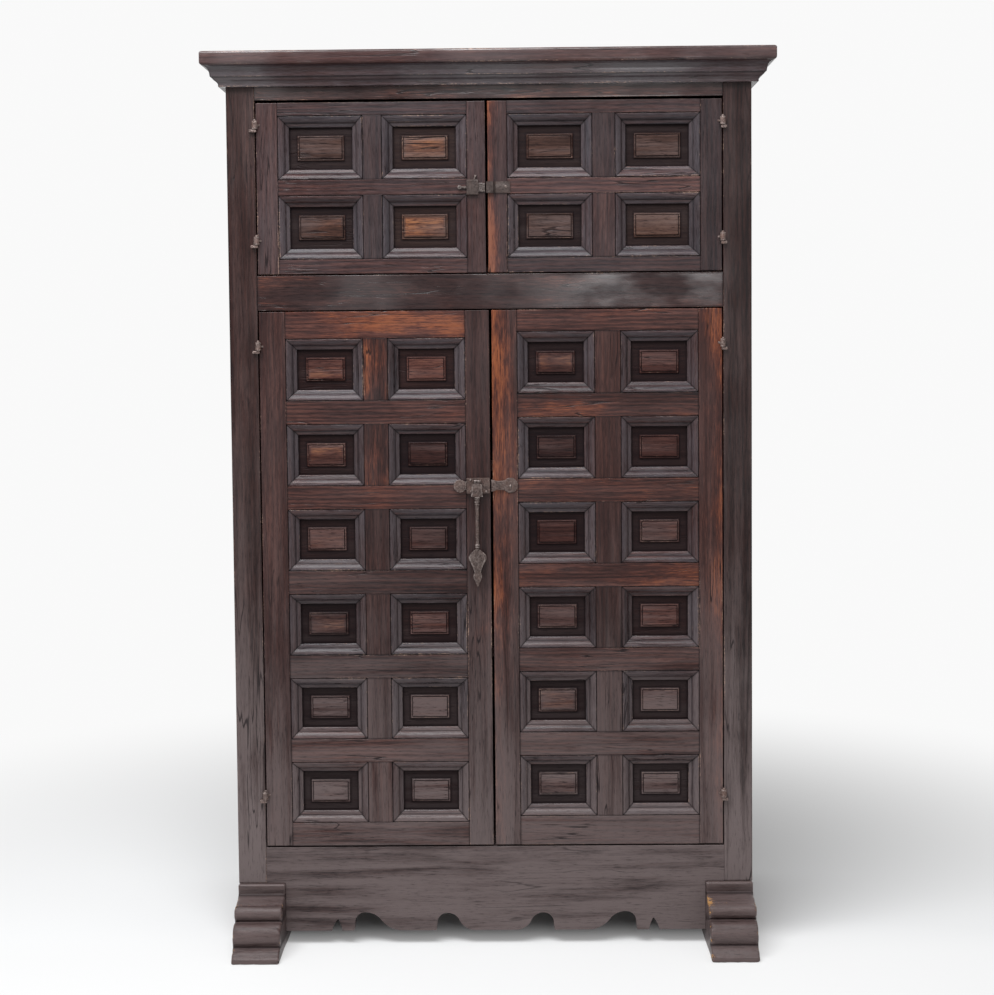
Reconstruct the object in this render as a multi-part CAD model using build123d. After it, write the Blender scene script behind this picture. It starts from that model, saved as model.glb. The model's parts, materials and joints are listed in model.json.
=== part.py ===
from build123d import *
import os

# Trastero: a tall two-part cupboard of framed and fielded panels on runner feet.
# Millimetres. X runs right, -Y is the front, +Z is up. The origin lies on the floor,
# at the centre of the whole piece's box.

# ---------------------------------------------------------------- driving dimensions
case_width = 1102.0
case_depth = 480.0
foot_height = 135.0
foot_width = 100.0
foot_reach = 118.0
post_width = 60.0
front_post_depth = 60.0
rear_post_depth = 50.0
rear_post_width = 50.0
apron_bottom = 30.0
apron_top = 213.0
leaf_thickness = 30.0
leaf_gap_side = 2.5
leaf_gap_below = 3.5
leaf_gap_above = 2.5
upper_gap_below = 3.0
upper_gap_above = 5.5
meeting_gap = 5.0
lower_meeting_x = 0.0
upper_meeting_x = -5.0
lower_leaf_height = 1143.5
upper_leaf_height = 358.5
mid_rail_height = 73.5
head_rail_height = 68.0
stop_gap = 1.0

# joinery
joint_gap = 0.1
tenon_thickness = 10.0
tenon_setback = 8.0
tenon_length = 30.0
tenon_shoulder = 7.0
stub_length = 11.0
post_tenon_length = 40.0
post_tenon_side = 28.0
board_groove = 8.0

# stuck moulding round each cell: widths run from the arris to the sight edge,
# depths run back from the face
moulding_width = 23.0
quirk_width = 1.8
quirk_depth = 3.2
ovolo_lip = 0.9
ovolo_end = 14.5
ovolo_depth = 8.6
ovolo_bulge = 1.2
ovolo_cuts = 3
fillet_depth = 10.4
sight_depth = 13.4
panel_tongue = 6.0
panel_ground = 19.6
panel_rear_gap = 0.25
panel_groove = 8.0
panel_expansion = 0.6

# raised and fielded panel
field_margin = 20.0
field_step = 3.0
field_rise = 3.2
field_border = 2.6
field_border_rise = 2.4

# lower leaves
lower_rows = 6
lower_middle_rail = 49.0
lower_left_hinge_stile = 54.5
lower_left_muntin = 50.5
lower_left_meeting_stile = 51.0
lower_left_top_rail = 57.0
lower_left_bottom_rail = 49.5
lower_right_hinge_stile = 49.5
lower_right_muntin = 53.5
lower_right_meeting_stile = 53.0
lower_right_top_rail = 45.0
lower_right_bottom_rail = 61.5

# upper leaves
upper_rows = 2
upper_middle_rail = 32.0
upper_hinge_stile = 44.5
upper_left_muntin = 39.0
upper_left_meeting_stile = 38.5
upper_right_muntin = 47.0
upper_right_meeting_stile = 40.5
upper_top_rail = 27.0
upper_bottom_rail = 30.5

# case boards
side_panel_thickness = 14.0
side_rail_thickness = 28.0
side_rail_height = 90.0
shelf_thickness = 22.0
bottom_board_rise = 15.0
back_board_thickness = 15.0
back_board_count = 6
back_board_seam = 1.0
back_board_chamfer = 2.0
rear_rail_thickness = 25.0
rear_rail_height = 80.0
cleat_height = 30.0
cleat_depth = 22.0
lower_shelf_count = 2

# cornice
slab_thickness = 29.0
slab_overhang = 47.0
slab_top_round = 5.0
slab_bottom_round = 6.0
crown_height = 41.0
crown_lip_reach = 13.0
crown_lip_rise = 5.0
crown_ogee_reach = 24.5
crown_ogee_rise = 19.0
crown_ogee_wave = 0.9
crown_fascia_step = 3.0
crown_fascia_lean = 1.5
crown_fascia_rise = 11.0
crown_top_reach = 41.0
crown_cove_sag = 2.4

# feet: reach is measured forward from the case front
fascia_reach = 10.0
fascia_height = 21.5
shoulder_reach = 48.0
shoulder_drop = 11.5
upper_torus_reach = 71.0
upper_torus_height = 92.0
groove_reach = 63.0
groove_height = 74.0
lower_torus_reach = 98.0
lower_torus_height = 52.0
crease_reach = 94.0
crease_height = 29.0
flare_reach = 115.0
flare_height = 12.0
flare_bulge = 2.5
base_height = 9.0

# scalloped lower edge of the apron, distances out from the centre line
inner_scallop_start = 44.0
inner_scallop_peak = 103.0
inner_scallop_end = 127.0
inner_scallop_height = 38.0
outer_scallop_start = 200.0
outer_scallop_peak = 280.0
outer_scallop_end = 304.0
outer_scallop_height = 40.0
scallop_corner = 22.0
scallop_turn = 0.57
notch_inner = 330.0
notch_peak = 339.0
notch_outer = 352.0
notch_height = 26.0
notch_bulge = 1.6

# forged eye-and-pintle hinges
hinge_stand_off = 7.0
pintle_radius = 3.0
pintle_height = 28.0
forged_flat_count = 14
pintle_bar = 6.4
pintle_leg = 13.0
pintle_bite = 26.0
eye_radius = 6.2
eye_height = 17.5
eye_seat = 0.3
eye_clearance = 0.05
eye_shank = 4.4
eye_shank_length = 24.0
spike_gap = 0.1
upper_hinge_from_top = 62.0
upper_hinge_from_bottom = 55.0
lower_hinge_from_top = 88.0
lower_hinge_from_bottom = 95.0

# sliding bolts
bolt_thickness = 5.0
bolt_height = 18.0
bolt_lift = 0.2
bolt_clearance = 0.3
bolt_nose_back = 0.7
bolt_nose_taper = 3.0
keeper_swing_room = 2.0
upper_bolt_z = 1617.0
upper_bolt_throw = 10.0
upper_guide_width = 25.0
upper_guide_height = 33.0
upper_guide_wall = 3.0
upper_guide_setback = 14.5
upper_tail_height = 6.0
upper_knob_radius = 4.5
upper_knob_height = 6.0
upper_knob_chamfer = 1.5
upper_keeper_length = 50.0
upper_keeper_tunnel = 14.0
upper_keeper_wall = 2.6
lower_latch_z = 989.0
lower_bolt_throw = 10.0
lower_plate_width = 50.0
lower_plate_height = 33.0
lower_plate_wall = 2.5
latch_lobe_radius = 13.0
latch_lobe_rise = 1.2
disc_radius = 14.0
disc_thickness = 4.0
disc_chamfer = 1.2
disc_stem_radius = 3.5
disc_bar_overlap = 9.0
keeper_waist_near = 12.0
keeper_waist_far = 14.0
keeper_waist_sag = 3.2
keeper_waist_level = 25.0
keeper_lobe_x = 40.0
keeper_lobe_radius = 16.0
keeper_lobe_thickness = 4.0
keeper_lobe_chamfer = 1.4
keeper_tunnel = 12.0

# drop handle of the lower latch
handle_x = -31.0
handle_pivot_rise = 10.0
knuckle_radius = 3.6
knuckle_width = 12.0
handle_pin_radius = 1.8
handle_pin_clearance = 0.05
handle_side_gap = 0.3
ear_width = 3.0
handle_front_gap = 1.0
head_top_width = 22.0
head_bottom_width = 26.0
head_length = 33.0
head_thickness = 5.0
stem_length = 113.0
stem_neck_radius = 7.0
stem_neck_length = 11.0
stem_top_radius = 4.8
stem_bottom_radius = 4.0
bead_radius = 5.8
bead_height = 4.0
drop_inset = 1.0
drop_thickness = 4.4
drop_neck_half = 5.6
drop_shoulder_half = 20.0
drop_shoulder_fall = 20.0
drop_shoulder_bulge = 4.0
drop_waist_half = 7.5
drop_waist_fall = 49.0
drop_lozenge_half = 9.6
drop_lozenge_fall = 57.0
drop_length = 80.0

# how far a cutting block runs past the metal or wood that it trims
cut_margin = 1.0

# ------------------------------------------------------------------ derived places
whole_depth = case_depth + foot_reach
front_y = foot_reach - whole_depth / 2
back_y = front_y + case_depth
half_case = case_width / 2
bay_half = half_case - post_width
lower_leaf_bottom = apron_top + leaf_gap_below
lower_leaf_top = lower_leaf_bottom + lower_leaf_height
mid_rail_bottom = lower_leaf_top + leaf_gap_above
mid_rail_top = mid_rail_bottom + mid_rail_height
upper_leaf_bottom = mid_rail_top + upper_gap_below
upper_leaf_top = upper_leaf_bottom + upper_leaf_height
head_rail_bottom = upper_leaf_top + upper_gap_above
case_top = head_rail_bottom + head_rail_height
crown_bottom = case_top - crown_height
rail_depth = leaf_thickness + stop_gap
inside_front = front_y + rail_depth
panel_ground_back = panel_ground + panel_tongue
back_board_front = back_y - rear_rail_thickness - back_board_thickness
bottom_board_top = apron_top + bottom_board_rise
divider_top = mid_rail_top + bottom_board_rise
hinge_y = front_y - hinge_stand_off
bolt_channel = bolt_height + 2 * bolt_clearance
bolt_pocket = bolt_lift + bolt_thickness + bolt_clearance


# ------------------------------------------------------------------------- helpers
def block(x0, x1, y0, y1, z0, z1):
    """A rectangular block between two opposite corners."""
    centre = Pos((x0 + x1) / 2, (y0 + y1) / 2, (z0 + z1) / 2)
    return centre * Box(x1 - x0, y1 - y0, z1 - z0)


def rod(start, direction, radius, length):
    """A round bar from a start point along a direction."""
    return Plane(origin=start, z_dir=direction) * Cylinder(
        radius, length, align=(Align.CENTER, Align.CENTER, Align.MIN))


def hammered_rod(start, direction, radius, length):
    """A bar forged nearly round, with flats from the hammer, from a point along a direction."""
    section = Plane(origin=start, z_dir=direction) * RegularPolygon(radius, forged_flat_count)
    return extrude(section, length)


def grown(x0, x1, y0, y1, z0, z1, gap):
    """The block that a mortise needs for a tenon between the same corners."""
    return block(x0 - gap, x1 + gap, y0 - gap, y1 + gap, z0 - gap, z1 + gap)


def bulge_point(start, end, bulge):
    """The middle of an arc from start to end that bows by bulge to the left of its chord."""
    chord = Vector(*end) - Vector(*start)
    middle = (Vector(*start) + Vector(*end)) / 2
    side = Vector(-chord.Y, chord.X).normalized()
    return middle + side * bulge


def bowed(start, end, bulge):
    """An arc between two points of a sketch that bows to the left by bulge."""
    return ThreePointArc(start, bulge_point(start, end, bulge), end)


# --------------------------------------------------------- frame-and-panel leaf work
def moulding_section():
    """Section of a member's moulded edge: quirk, ovolo, fillet, sight edge and groove.

    The ovolo is worked as a few flats, as a plane leaves it. The sketch's X is the distance
    from the arris towards the sight edge and its Y is the depth behind the face.
    """
    groove_floor = moulding_width - panel_groove
    groove_front = panel_ground - panel_rear_gap
    groove_back = panel_ground_back + panel_rear_gap
    ovolo_start = (quirk_width, ovolo_lip)
    ovolo_finish = (ovolo_end, ovolo_depth)
    ovolo = bowed(ovolo_start, ovolo_finish, -ovolo_bulge)
    outline = Polyline(
        (0, 0),
        (quirk_width / 2, quirk_depth),
        *(ovolo @ (cut / ovolo_cuts) for cut in range(ovolo_cuts + 1)),
        (ovolo_end, fillet_depth),
        (moulding_width, sight_depth),
        (moulding_width, groove_front),
        (groove_floor, groove_front),
        (groove_floor, groove_back),
        (moulding_width, groove_back),
        (moulding_width, leaf_thickness),
        (0, leaf_thickness),
        close=True)
    return make_face(outline)


def mitred_moulding(length):
    """Moulding for one side of a cell, mitred at both ends.

    Its arris runs along X through the origin, it grows towards +Z, and its face is at y = 0.
    """
    # section plane: local x is +Z, local y is +Y, normal is -X
    across = Plane(origin=(length / 2, 0, 0), x_dir=(0, 0, 1), z_dir=(-1, 0, 0))
    bar = extrude(across * moulding_section(), length)
    inner = length - 2 * moulding_width
    front = Plane.XZ * make_face(Polyline(
        (-length / 2, 0), (length / 2, 0), (inner / 2, moulding_width),
        (-inner / 2, moulding_width), close=True))
    mitre = extrude(front, -leaf_thickness)
    return bar & mitre


def fielded_panel(cell_width, cell_height):
    """Raised and fielded panel, centred on its cell, with its tongue in the frame's groove."""
    sight_width = cell_width - 2 * moulding_width
    sight_height = cell_height - 2 * moulding_width
    reach = 2 * (panel_groove - panel_expansion)
    field_width = sight_width - 2 * field_margin
    field_height = sight_height - 2 * field_margin
    board = block(-(sight_width + reach) / 2, (sight_width + reach) / 2,
                  panel_ground, panel_ground_back,
                  -(sight_height + reach) / 2, (sight_height + reach) / 2)
    foot = Plane.XZ.offset(-panel_ground) * Rectangle(
        field_width + 2 * field_step, field_height + 2 * field_step)
    crown = Plane.XZ.offset(-panel_ground + field_rise) * Rectangle(field_width, field_height)
    bevel = loft([foot, crown])
    top_y = panel_ground - field_rise - field_border_rise
    field = block(-field_width / 2 + field_border, field_width / 2 - field_border,
                  top_y, panel_ground,
                  -field_height / 2 + field_border, field_height / 2 - field_border)
    return board + bevel + field


def leaf(width, height, rows, stiles, muntin, rail_heights):
    """The pieces of one leaf, as lists of solids.

    The leaf's hinge edge is at x = 0, its face at y = 0 and its bottom edge at z = 0. The
    stiles are the hinge and meeting ones, the rails the top, middle and bottom ones, and
    two columns of equal cells fill the rest.
    """
    stile, meeting_stile_width = stiles
    top_rail, middle_rail, bottom_rail = rail_heights
    cell_width = (width - stile - muntin - meeting_stile_width) / 2
    cell_height = (height - top_rail - bottom_rail - (rows - 1) * middle_rail) / rows
    columns = (stile, stile + cell_width + muntin)
    inner_right = columns[1] + cell_width
    row_tops = [height - top_rail - i * (cell_height + middle_rail) for i in range(rows)]
    row_bottoms = [top - cell_height for top in row_tops]
    rail_edges = list(zip([height] + row_bottoms, row_tops + [0.0]))
    flat = mitred_moulding(cell_width)
    upright = mitred_moulding(cell_height)
    tenon_front = tenon_setback
    tenon_back = tenon_setback + tenon_thickness

    def cell_centre(row):
        return (row_tops[row] + row_bottoms[row]) / 2

    hinge_stile = block(0, stile, 0, leaf_thickness, 0, height)
    hinge_stile += [Pos(stile, 0, cell_centre(r)) * Rot(Y=90) * upright for r in range(rows)]
    meeting_stile = block(inner_right, width, 0, leaf_thickness, 0, height)
    meeting_stile += [
        Pos(inner_right, 0, cell_centre(r)) * Rot(Y=-90) * upright for r in range(rows)]

    rails = []
    for index, (top, bottom) in enumerate(rail_edges):
        rail = block(stile, inner_right, 0, leaf_thickness, bottom, top)
        for left in columns:
            middle = left + cell_width / 2
            if index > 0:
                rail += Pos(middle, 0, top) * flat
            if index < rows:
                rail += Pos(middle, 0, bottom) * Rot(Y=180) * flat
        low = bottom + tenon_shoulder
        high = top - tenon_shoulder
        for x0, x1 in ((stile - tenon_length, stile), (inner_right, inner_right + tenon_length)):
            rail += block(x0, x1, tenon_front, tenon_back, low, high)
        mortise = (tenon_front, tenon_back, low, high, joint_gap)
        hinge_stile -= grown(stile - tenon_length, stile, *mortise)
        meeting_stile -= grown(inner_right, inner_right + tenon_length, *mortise)
        rails.append(rail)

    muntins = []
    left = columns[0] + cell_width
    right = columns[1]
    for row in range(rows):
        piece = block(left, right, 0, leaf_thickness, row_bottoms[row], row_tops[row])
        piece += Pos(left, 0, cell_centre(row)) * Rot(Y=-90) * upright
        piece += Pos(right, 0, cell_centre(row)) * Rot(Y=90) * upright
        stub_sides = (left + tenon_shoulder, right - tenon_shoulder, tenon_front, tenon_back)
        above = (row_tops[row], row_tops[row] + stub_length)
        below = (row_bottoms[row] - stub_length, row_bottoms[row])
        piece += block(*stub_sides, *above)
        piece += block(*stub_sides, *below)
        rails[row] -= grown(*stub_sides, *above, joint_gap)
        rails[row + 1] -= grown(*stub_sides, *below, joint_gap)
        muntins.append(piece)

    panel = fielded_panel(cell_width, cell_height)
    panels = [Pos(x + cell_width / 2, 0, cell_centre(row)) * panel
              for row in range(rows) for x in columns]
    return {"hinge_stile": [hinge_stile], "meeting_stile": [meeting_stile],
            "rails": rails, "muntins": muntins, "panels": panels}


# ------------------------------------------------------------------------- hardware
def square_bar(length, side):
    """A square bar that runs along +X from the origin."""
    return Box(length, side, side, align=(Align.MIN, Align.CENTER, Align.CENTER))


def pintle():
    """Forged pintle: an upright pin on a square leg whose far end is driven into the post.

    The pin stands on the hinge axis at the origin; the post is towards -X and +Y.
    """
    half = pintle_bar / 2
    leg = block(-pintle_leg - half, half, -half, half, 0, pintle_bar)
    spike = block(-pintle_leg - half, -pintle_leg + half, 0, hinge_stand_off + pintle_bite,
                  0, pintle_bar)
    pin = rod((0, 0, pintle_bar), (0, 0, 1), pintle_radius, pintle_height - pintle_bar)
    return leg + spike + pin


def pintle_hole():
    """The hole that the pintle's spike fills in a post."""
    half = pintle_bar / 2
    return grown(-pintle_leg - half, -pintle_leg + half, 0, hinge_stand_off + pintle_bite,
                 0, pintle_bar, spike_gap)


def hinge_eye():
    """Forged eye that turns on the pintle; its shank is driven in behind the leaf's arris."""
    base = pintle_bar + eye_seat
    bore_radius = pintle_radius + eye_clearance
    ring = hammered_rod((0, 0, base), (0, 0, 1), eye_radius, eye_height)
    ring -= rod((0, 0, base), (0, 0, 1), bore_radius, eye_height)
    root = (bore_radius + eye_radius) / 2
    shank = Rot(Z=45) * Pos(root, 0, base + eye_height / 2) * square_bar(eye_shank_length, eye_shank)
    return ring + shank


def eye_hole():
    """The hole that the eye's shank fills in a hinge stile."""
    middle = pintle_bar + eye_seat + eye_height / 2
    return Rot(Z=45) * Pos(0, 0, middle) * square_bar(
        eye_radius + eye_shank_length, eye_shank + 2 * spike_gap)


def bolt_bar(x0, x1, z):
    """Flat bar of a bolt with a nose that is bevelled at its front."""
    back = front_y - bolt_lift
    front = back - bolt_thickness
    outline = Polyline(
        (x0, back), (x1, back), (x1, back - bolt_thickness + bolt_nose_taper),
        (x1 - bolt_nose_taper, front), (x0, front), close=True)
    low = z - bolt_height / 2
    return extrude(Pos(0, 0, low) * make_face(outline), bolt_height)


def bolt_tunnel(x0, x1, z):
    """The space a bolt slides in, from the leaf's face outwards."""
    return block(x0, x1, front_y - bolt_pocket, front_y, z - bolt_channel / 2, z + bolt_channel / 2)


# ------------------------------------------------------------------------ the leaves
def leaf_edges(side, meeting_x):
    """Hinge edge and meeting edge of a leaf; side is -1 on the left and 1 on the right."""
    hinge_edge = side * (bay_half - leaf_gap_side)
    meeting_edge = meeting_x + side * meeting_gap / 2
    return hinge_edge, meeting_edge


def placed_leaf(side, meeting_x, bottom, height, hinge_heights, make):
    """One leaf in its place, with its pair of hinge eyes."""
    hinge_edge, meeting_edge = leaf_edges(side, meeting_x)
    pieces = make(abs(meeting_edge - hinge_edge), height)
    axis_x = -leaf_gap_side / 2
    eyes = []
    for z in hinge_heights:
        spot = Pos(axis_x, -hinge_stand_off, z)
        eyes.append(spot * hinge_eye())
        pieces["hinge_stile"][0] -= spot * eye_hole()
    pieces["hinge_eyes"] = eyes
    place = Pos(hinge_edge, front_y, bottom)
    if side < 0:
        return {name: [place * s for s in solids] for name, solids in pieces.items()}
    return {name: [place * mirror(s, Plane.YZ) for s in solids]
            for name, solids in pieces.items()}


def leaf_maker(rows, stiles, muntin, rail_heights):
    """A maker for one leaf that still waits for its width and height."""
    return lambda width, height: leaf(width, height, rows, stiles, muntin, rail_heights)


upper_hinges = (upper_hinge_from_bottom, upper_leaf_height - upper_hinge_from_top)
lower_hinges = (lower_hinge_from_bottom, lower_leaf_height - lower_hinge_from_top)
upper_rails = (upper_top_rail, upper_middle_rail, upper_bottom_rail)
upper_place = (upper_meeting_x, upper_leaf_bottom, upper_leaf_height, upper_hinges)
lower_place = (lower_meeting_x, lower_leaf_bottom, lower_leaf_height, lower_hinges)
leaves = {
    "upper_left": placed_leaf(-1, *upper_place, leaf_maker(
        upper_rows, (upper_hinge_stile, upper_left_meeting_stile), upper_left_muntin,
        upper_rails)),
    "upper_right": placed_leaf(1, *upper_place, leaf_maker(
        upper_rows, (upper_hinge_stile, upper_right_meeting_stile), upper_right_muntin,
        upper_rails)),
    "lower_left": placed_leaf(-1, *lower_place, leaf_maker(
        lower_rows, (lower_left_hinge_stile, lower_left_meeting_stile), lower_left_muntin,
        (lower_left_top_rail, lower_middle_rail, lower_left_bottom_rail))),
    "lower_right": placed_leaf(1, *lower_place, leaf_maker(
        lower_rows, (lower_right_hinge_stile, lower_right_meeting_stile), lower_right_muntin,
        (lower_right_top_rail, lower_middle_rail, lower_right_bottom_rail))),
}

# ------------------------------------------------------------------------- the case
nodes = {}


def both_sides(name, left_solids):
    """Store left-hand solids and their mirror images as two nodes."""
    nodes[name + "_left"] = left_solids
    nodes[name + "_right"] = [mirror(s, Plane.YZ) for s in left_solids]


# front rails between the posts, with tenons into them
front_rails = {
    "mid_rail": (mid_rail_bottom, mid_rail_top),
    "head_rail": (head_rail_bottom, case_top),
}
post_front_y = front_y + front_post_depth
left_post = block(-half_case, -bay_half, front_y, post_front_y, foot_height, case_top)
tenon_y = (front_y + tenon_setback, front_y + tenon_setback + tenon_thickness)
for name, (low, high) in front_rails.items():
    rail = block(-bay_half, bay_half, front_y, inside_front, low, high)
    heights = (low + tenon_shoulder, high - tenon_shoulder)
    rail += block(-bay_half - tenon_length, -bay_half, *tenon_y, *heights)
    rail += block(bay_half, bay_half + tenon_length, *tenon_y, *heights)
    left_post -= grown(-bay_half - tenon_length, -bay_half, *tenon_y, *heights, joint_gap)
    nodes[name] = [rail]

# posts: stub tenon into the foot, groove for the side panels, holes for the pintles
post_middle_x = -half_case + post_width / 2
post_middle_y = front_y + front_post_depth / 2
rear_middle_x = -half_case + rear_post_width / 2
rear_middle_y = back_y - rear_post_depth / 2


def post_tenon(x, y, gap):
    """Square tenon from a post down into the foot, with the gap its mortise has."""
    half = post_tenon_side / 2
    return block(x - half - gap, x + half + gap, y - half - gap, y + half + gap,
                 foot_height - post_tenon_length - gap, foot_height)


left_post += post_tenon(post_middle_x, post_middle_y, 0.0)
for base, height, hinges in ((upper_leaf_bottom, upper_leaf_height, upper_hinges),
                             (lower_leaf_bottom, lower_leaf_height, lower_hinges)):
    for z in hinges:
        left_post -= Pos(-bay_half + leaf_gap_side / 2, hinge_y, base + z) * pintle_hole()

rear_post = block(-half_case, -half_case + rear_post_width, back_y - rear_post_depth, back_y,
                  foot_height, case_top)
rear_post += post_tenon(rear_middle_x, rear_middle_y, 0.0)

# side frames: three rails with two flat panels grooved into rails and posts
side_outer = -half_case + tenon_setback
side_panel_x = (side_outer, side_outer + side_panel_thickness)
side_rail_x = (-half_case, -half_case + side_rail_thickness)
side_y = (post_front_y, back_y - rear_post_depth)
side_levels = (
    (foot_height, foot_height + side_rail_height),
    (mid_rail_bottom, mid_rail_bottom + side_rail_height),
    (case_top - side_rail_height, case_top),
)
panel_levels = (
    (side_levels[0][1] - board_groove, side_levels[1][0] + board_groove),
    (side_levels[1][1] - board_groove, side_levels[2][0] + board_groove),
)
side_rails = [block(*side_rail_x, *side_y, low, high) for low, high in side_levels]
side_panels = []
groove_y = (side_y[0] - board_groove, side_y[1] + board_groove)
for low, high in panel_levels:
    side_panels.append(block(*side_panel_x, *groove_y, low, high))
    channel = grown(*side_panel_x, *groove_y, low, high, joint_gap)
    side_rails = [rail - channel for rail in side_rails]
    left_post -= channel
    rear_post -= channel
both_sides("front_post", [left_post])
both_sides("rear_post", [rear_post])
both_sides("side_rails", side_rails)
both_sides("side_panels", side_panels)

# back: two rails between the rear posts and upright boards lying on their inner faces
rear_half = half_case - rear_post_width
rear_rail_levels = (
    (foot_height, foot_height + rear_rail_height),
    (mid_rail_bottom, mid_rail_bottom + rear_rail_height),
    (case_top - rear_rail_height, case_top),
)
nodes["rear_rails"] = [
    block(-rear_half, rear_half, back_y - rear_rail_thickness, back_y, low, high)
    for low, high in rear_rail_levels]
board_pitch = 2 * rear_half / back_board_count
back_boards = []
for i in range(back_board_count):
    start = -rear_half + i * board_pitch
    board = block(start + (back_board_seam if i else 0), start + board_pitch,
                  back_board_front, back_board_front + back_board_thickness,
                  foot_height, case_top)
    back_boards.append(chamfer(board.edges().filter_by(Axis.Z), back_board_chamfer))
nodes["back_boards"] = back_boards

# floor, divider and shelves on cleats; the floor and divider also stop the leaves
shelf_levels = [bottom_board_top - shelf_thickness, divider_top - shelf_thickness]
bay_rise = (shelf_levels[1] - bottom_board_top) / (lower_shelf_count + 1)
shelf_levels += [bottom_board_top + bay_rise * (i + 1) - shelf_thickness / 2
                 for i in range(lower_shelf_count)]
shelf_names = ["bottom_board", "divider_shelf"]
shelf_names += ["lower_shelf_" + str(i + 1) for i in range(lower_shelf_count)]
inner_side_x = -half_case + side_rail_thickness
cleats = []
for name, low in zip(shelf_names, shelf_levels):
    board = block(inner_side_x, -inner_side_x, inside_front, back_board_front,
                  low, low + shelf_thickness)
    for side in (-1, 1):
        post_edge = sorted((side * bay_half, side * half_case))
        board -= block(*post_edge, inside_front, post_front_y, low, low + shelf_thickness)
        rear_edge = sorted((side * rear_half, side * half_case))
        board -= block(*rear_edge, back_y - rear_post_depth, back_y, low, low + shelf_thickness)
        cleat_x = sorted((side * -inner_side_x, side * (-inner_side_x - cleat_depth)))
        cleats.append(block(*cleat_x, *side_y, low - cleat_height, low))
    nodes[name] = [board]
nodes["shelf_cleats"] = cleats


# apron with its scalloped lower edge, housed between the feet
def scallop(start, peak, end, height):
    """One scallop from the low edge up an ogee to its peak, round a corner and down."""
    low = apron_bottom
    top = apron_bottom + height
    turn = (start + scallop_turn * (peak - start), low + scallop_turn * height)
    corner = (peak + scallop_corner, top - scallop_corner)
    return [TangentArc((start, low), turn, tangent=(1, 0)),
            TangentArc((peak, top), turn, tangent=(-1, 0)),
            TangentArc((peak, top), corner, tangent=(1, 0)),
            Line(corner, (end, low))]


def half_scallops():
    """Edges of the apron's outline from the centre line out to the foot and back."""
    foot_edge = half_case - foot_width
    low = apron_bottom
    notch_top = (notch_peak, low + notch_height)
    edges = [Line((0, low), (inner_scallop_start, low))]
    edges += scallop(inner_scallop_start, inner_scallop_peak, inner_scallop_end,
                     inner_scallop_height)
    edges.append(Line((inner_scallop_end, low), (outer_scallop_start, low)))
    edges += scallop(outer_scallop_start, outer_scallop_peak, outer_scallop_end,
                     outer_scallop_height)
    edges.append(Line((outer_scallop_end, low), (notch_inner, low)))
    edges.append(bowed((notch_inner, low), notch_top, notch_bulge))
    edges.append(bowed(notch_top, (notch_outer, low), notch_bulge))
    edges += Polyline((notch_outer, low), (foot_edge, low), (foot_edge, foot_height),
                      (bay_half, foot_height), (bay_half, apron_top), (0, apron_top),
                      (0, low)).edges()
    return edges


apron_half = extrude(Plane.XZ.offset(-front_y) * make_face(half_scallops()), -rail_depth)
nodes["apron"] = [apron_half + mirror(apron_half, Plane.YZ)]


# feet: a runner from front to back whose nose is carved in two rolls over a flared base
def foot_outline():
    """Side outline of a runner foot: sketch X is the reach and Y the height."""
    tail = -case_depth
    shoulder = (shoulder_reach, foot_height - fascia_height - shoulder_drop)
    groove = (groove_reach, groove_height)
    crease = (crease_reach, crease_height)
    flare = (flare_reach, flare_height)
    edges = Polyline((tail, foot_height), (fascia_reach, foot_height),
                     (fascia_reach, foot_height - fascia_height), shoulder).edges()
    edges.append(ThreePointArc(shoulder, (upper_torus_reach, upper_torus_height), groove))
    edges.append(ThreePointArc(groove, (lower_torus_reach, lower_torus_height), crease))
    edges.append(bowed(crease, flare, flare_bulge))
    edges += Polyline(flare, (foot_reach, base_height), (foot_reach, 0),
                      (tail, 0), (tail, foot_height)).edges()
    return make_face(edges)


# seen from the left: sketch X runs forward, Y up, and the normal points outwards
left_face = Plane(origin=(-half_case, front_y, 0), x_dir=(0, -1, 0), z_dir=(-1, 0, 0))
runner = extrude(left_face * foot_outline(), -foot_width)
runner -= post_tenon(post_middle_x, post_middle_y, joint_gap)
runner -= post_tenon(rear_middle_x, rear_middle_y, joint_gap)
both_sides("foot", [runner])

# cornice: a thick slab over a crown moulding that is mitred at the front corners
def overhanging(solid, level):
    """The front and side edges of a solid at its lowest (0) or highest (-1) level."""
    return solid.edges().group_by(Axis.Z)[level].filter_by(
        lambda edge: edge.center().Y < back_y - cut_margin)


slab = block(-half_case - slab_overhang, half_case + slab_overhang,
             front_y - slab_overhang, back_y, case_top, case_top + slab_thickness)
slab = fillet(overhanging(slab, -1), slab_top_round)
slab = fillet(overhanging(slab, 0), slab_bottom_round)
nodes["cornice_slab"] = [slab]


def crown_section():
    """Section of the crown moulding: sketch X is the overhang and Y the height."""
    ogee_foot = (crown_lip_reach, crown_bottom + crown_lip_rise)
    ogee_top = (crown_ogee_reach, crown_bottom + crown_ogee_rise)
    ogee_middle = ((ogee_foot[0] + ogee_top[0]) / 2, (ogee_foot[1] + ogee_top[1]) / 2)
    fascia_foot = (crown_ogee_reach + crown_fascia_step, ogee_top[1])
    fascia_top = (fascia_foot[0] + crown_fascia_lean, fascia_foot[1] + crown_fascia_rise)
    cove_top = (crown_top_reach, case_top)
    edges = Polyline((0, crown_bottom), (crown_lip_reach, crown_bottom), ogee_foot).edges()
    edges.append(bowed(ogee_foot, ogee_middle, crown_ogee_wave))
    edges.append(bowed(ogee_middle, ogee_top, -crown_ogee_wave))
    edges += Polyline(ogee_top, fascia_foot, fascia_top).edges()
    edges.append(bowed(fascia_top, cove_top, crown_cove_sag))
    edges += Polyline(cove_top, (0, case_top), (0, crown_bottom)).edges()
    return make_face(edges)


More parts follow.
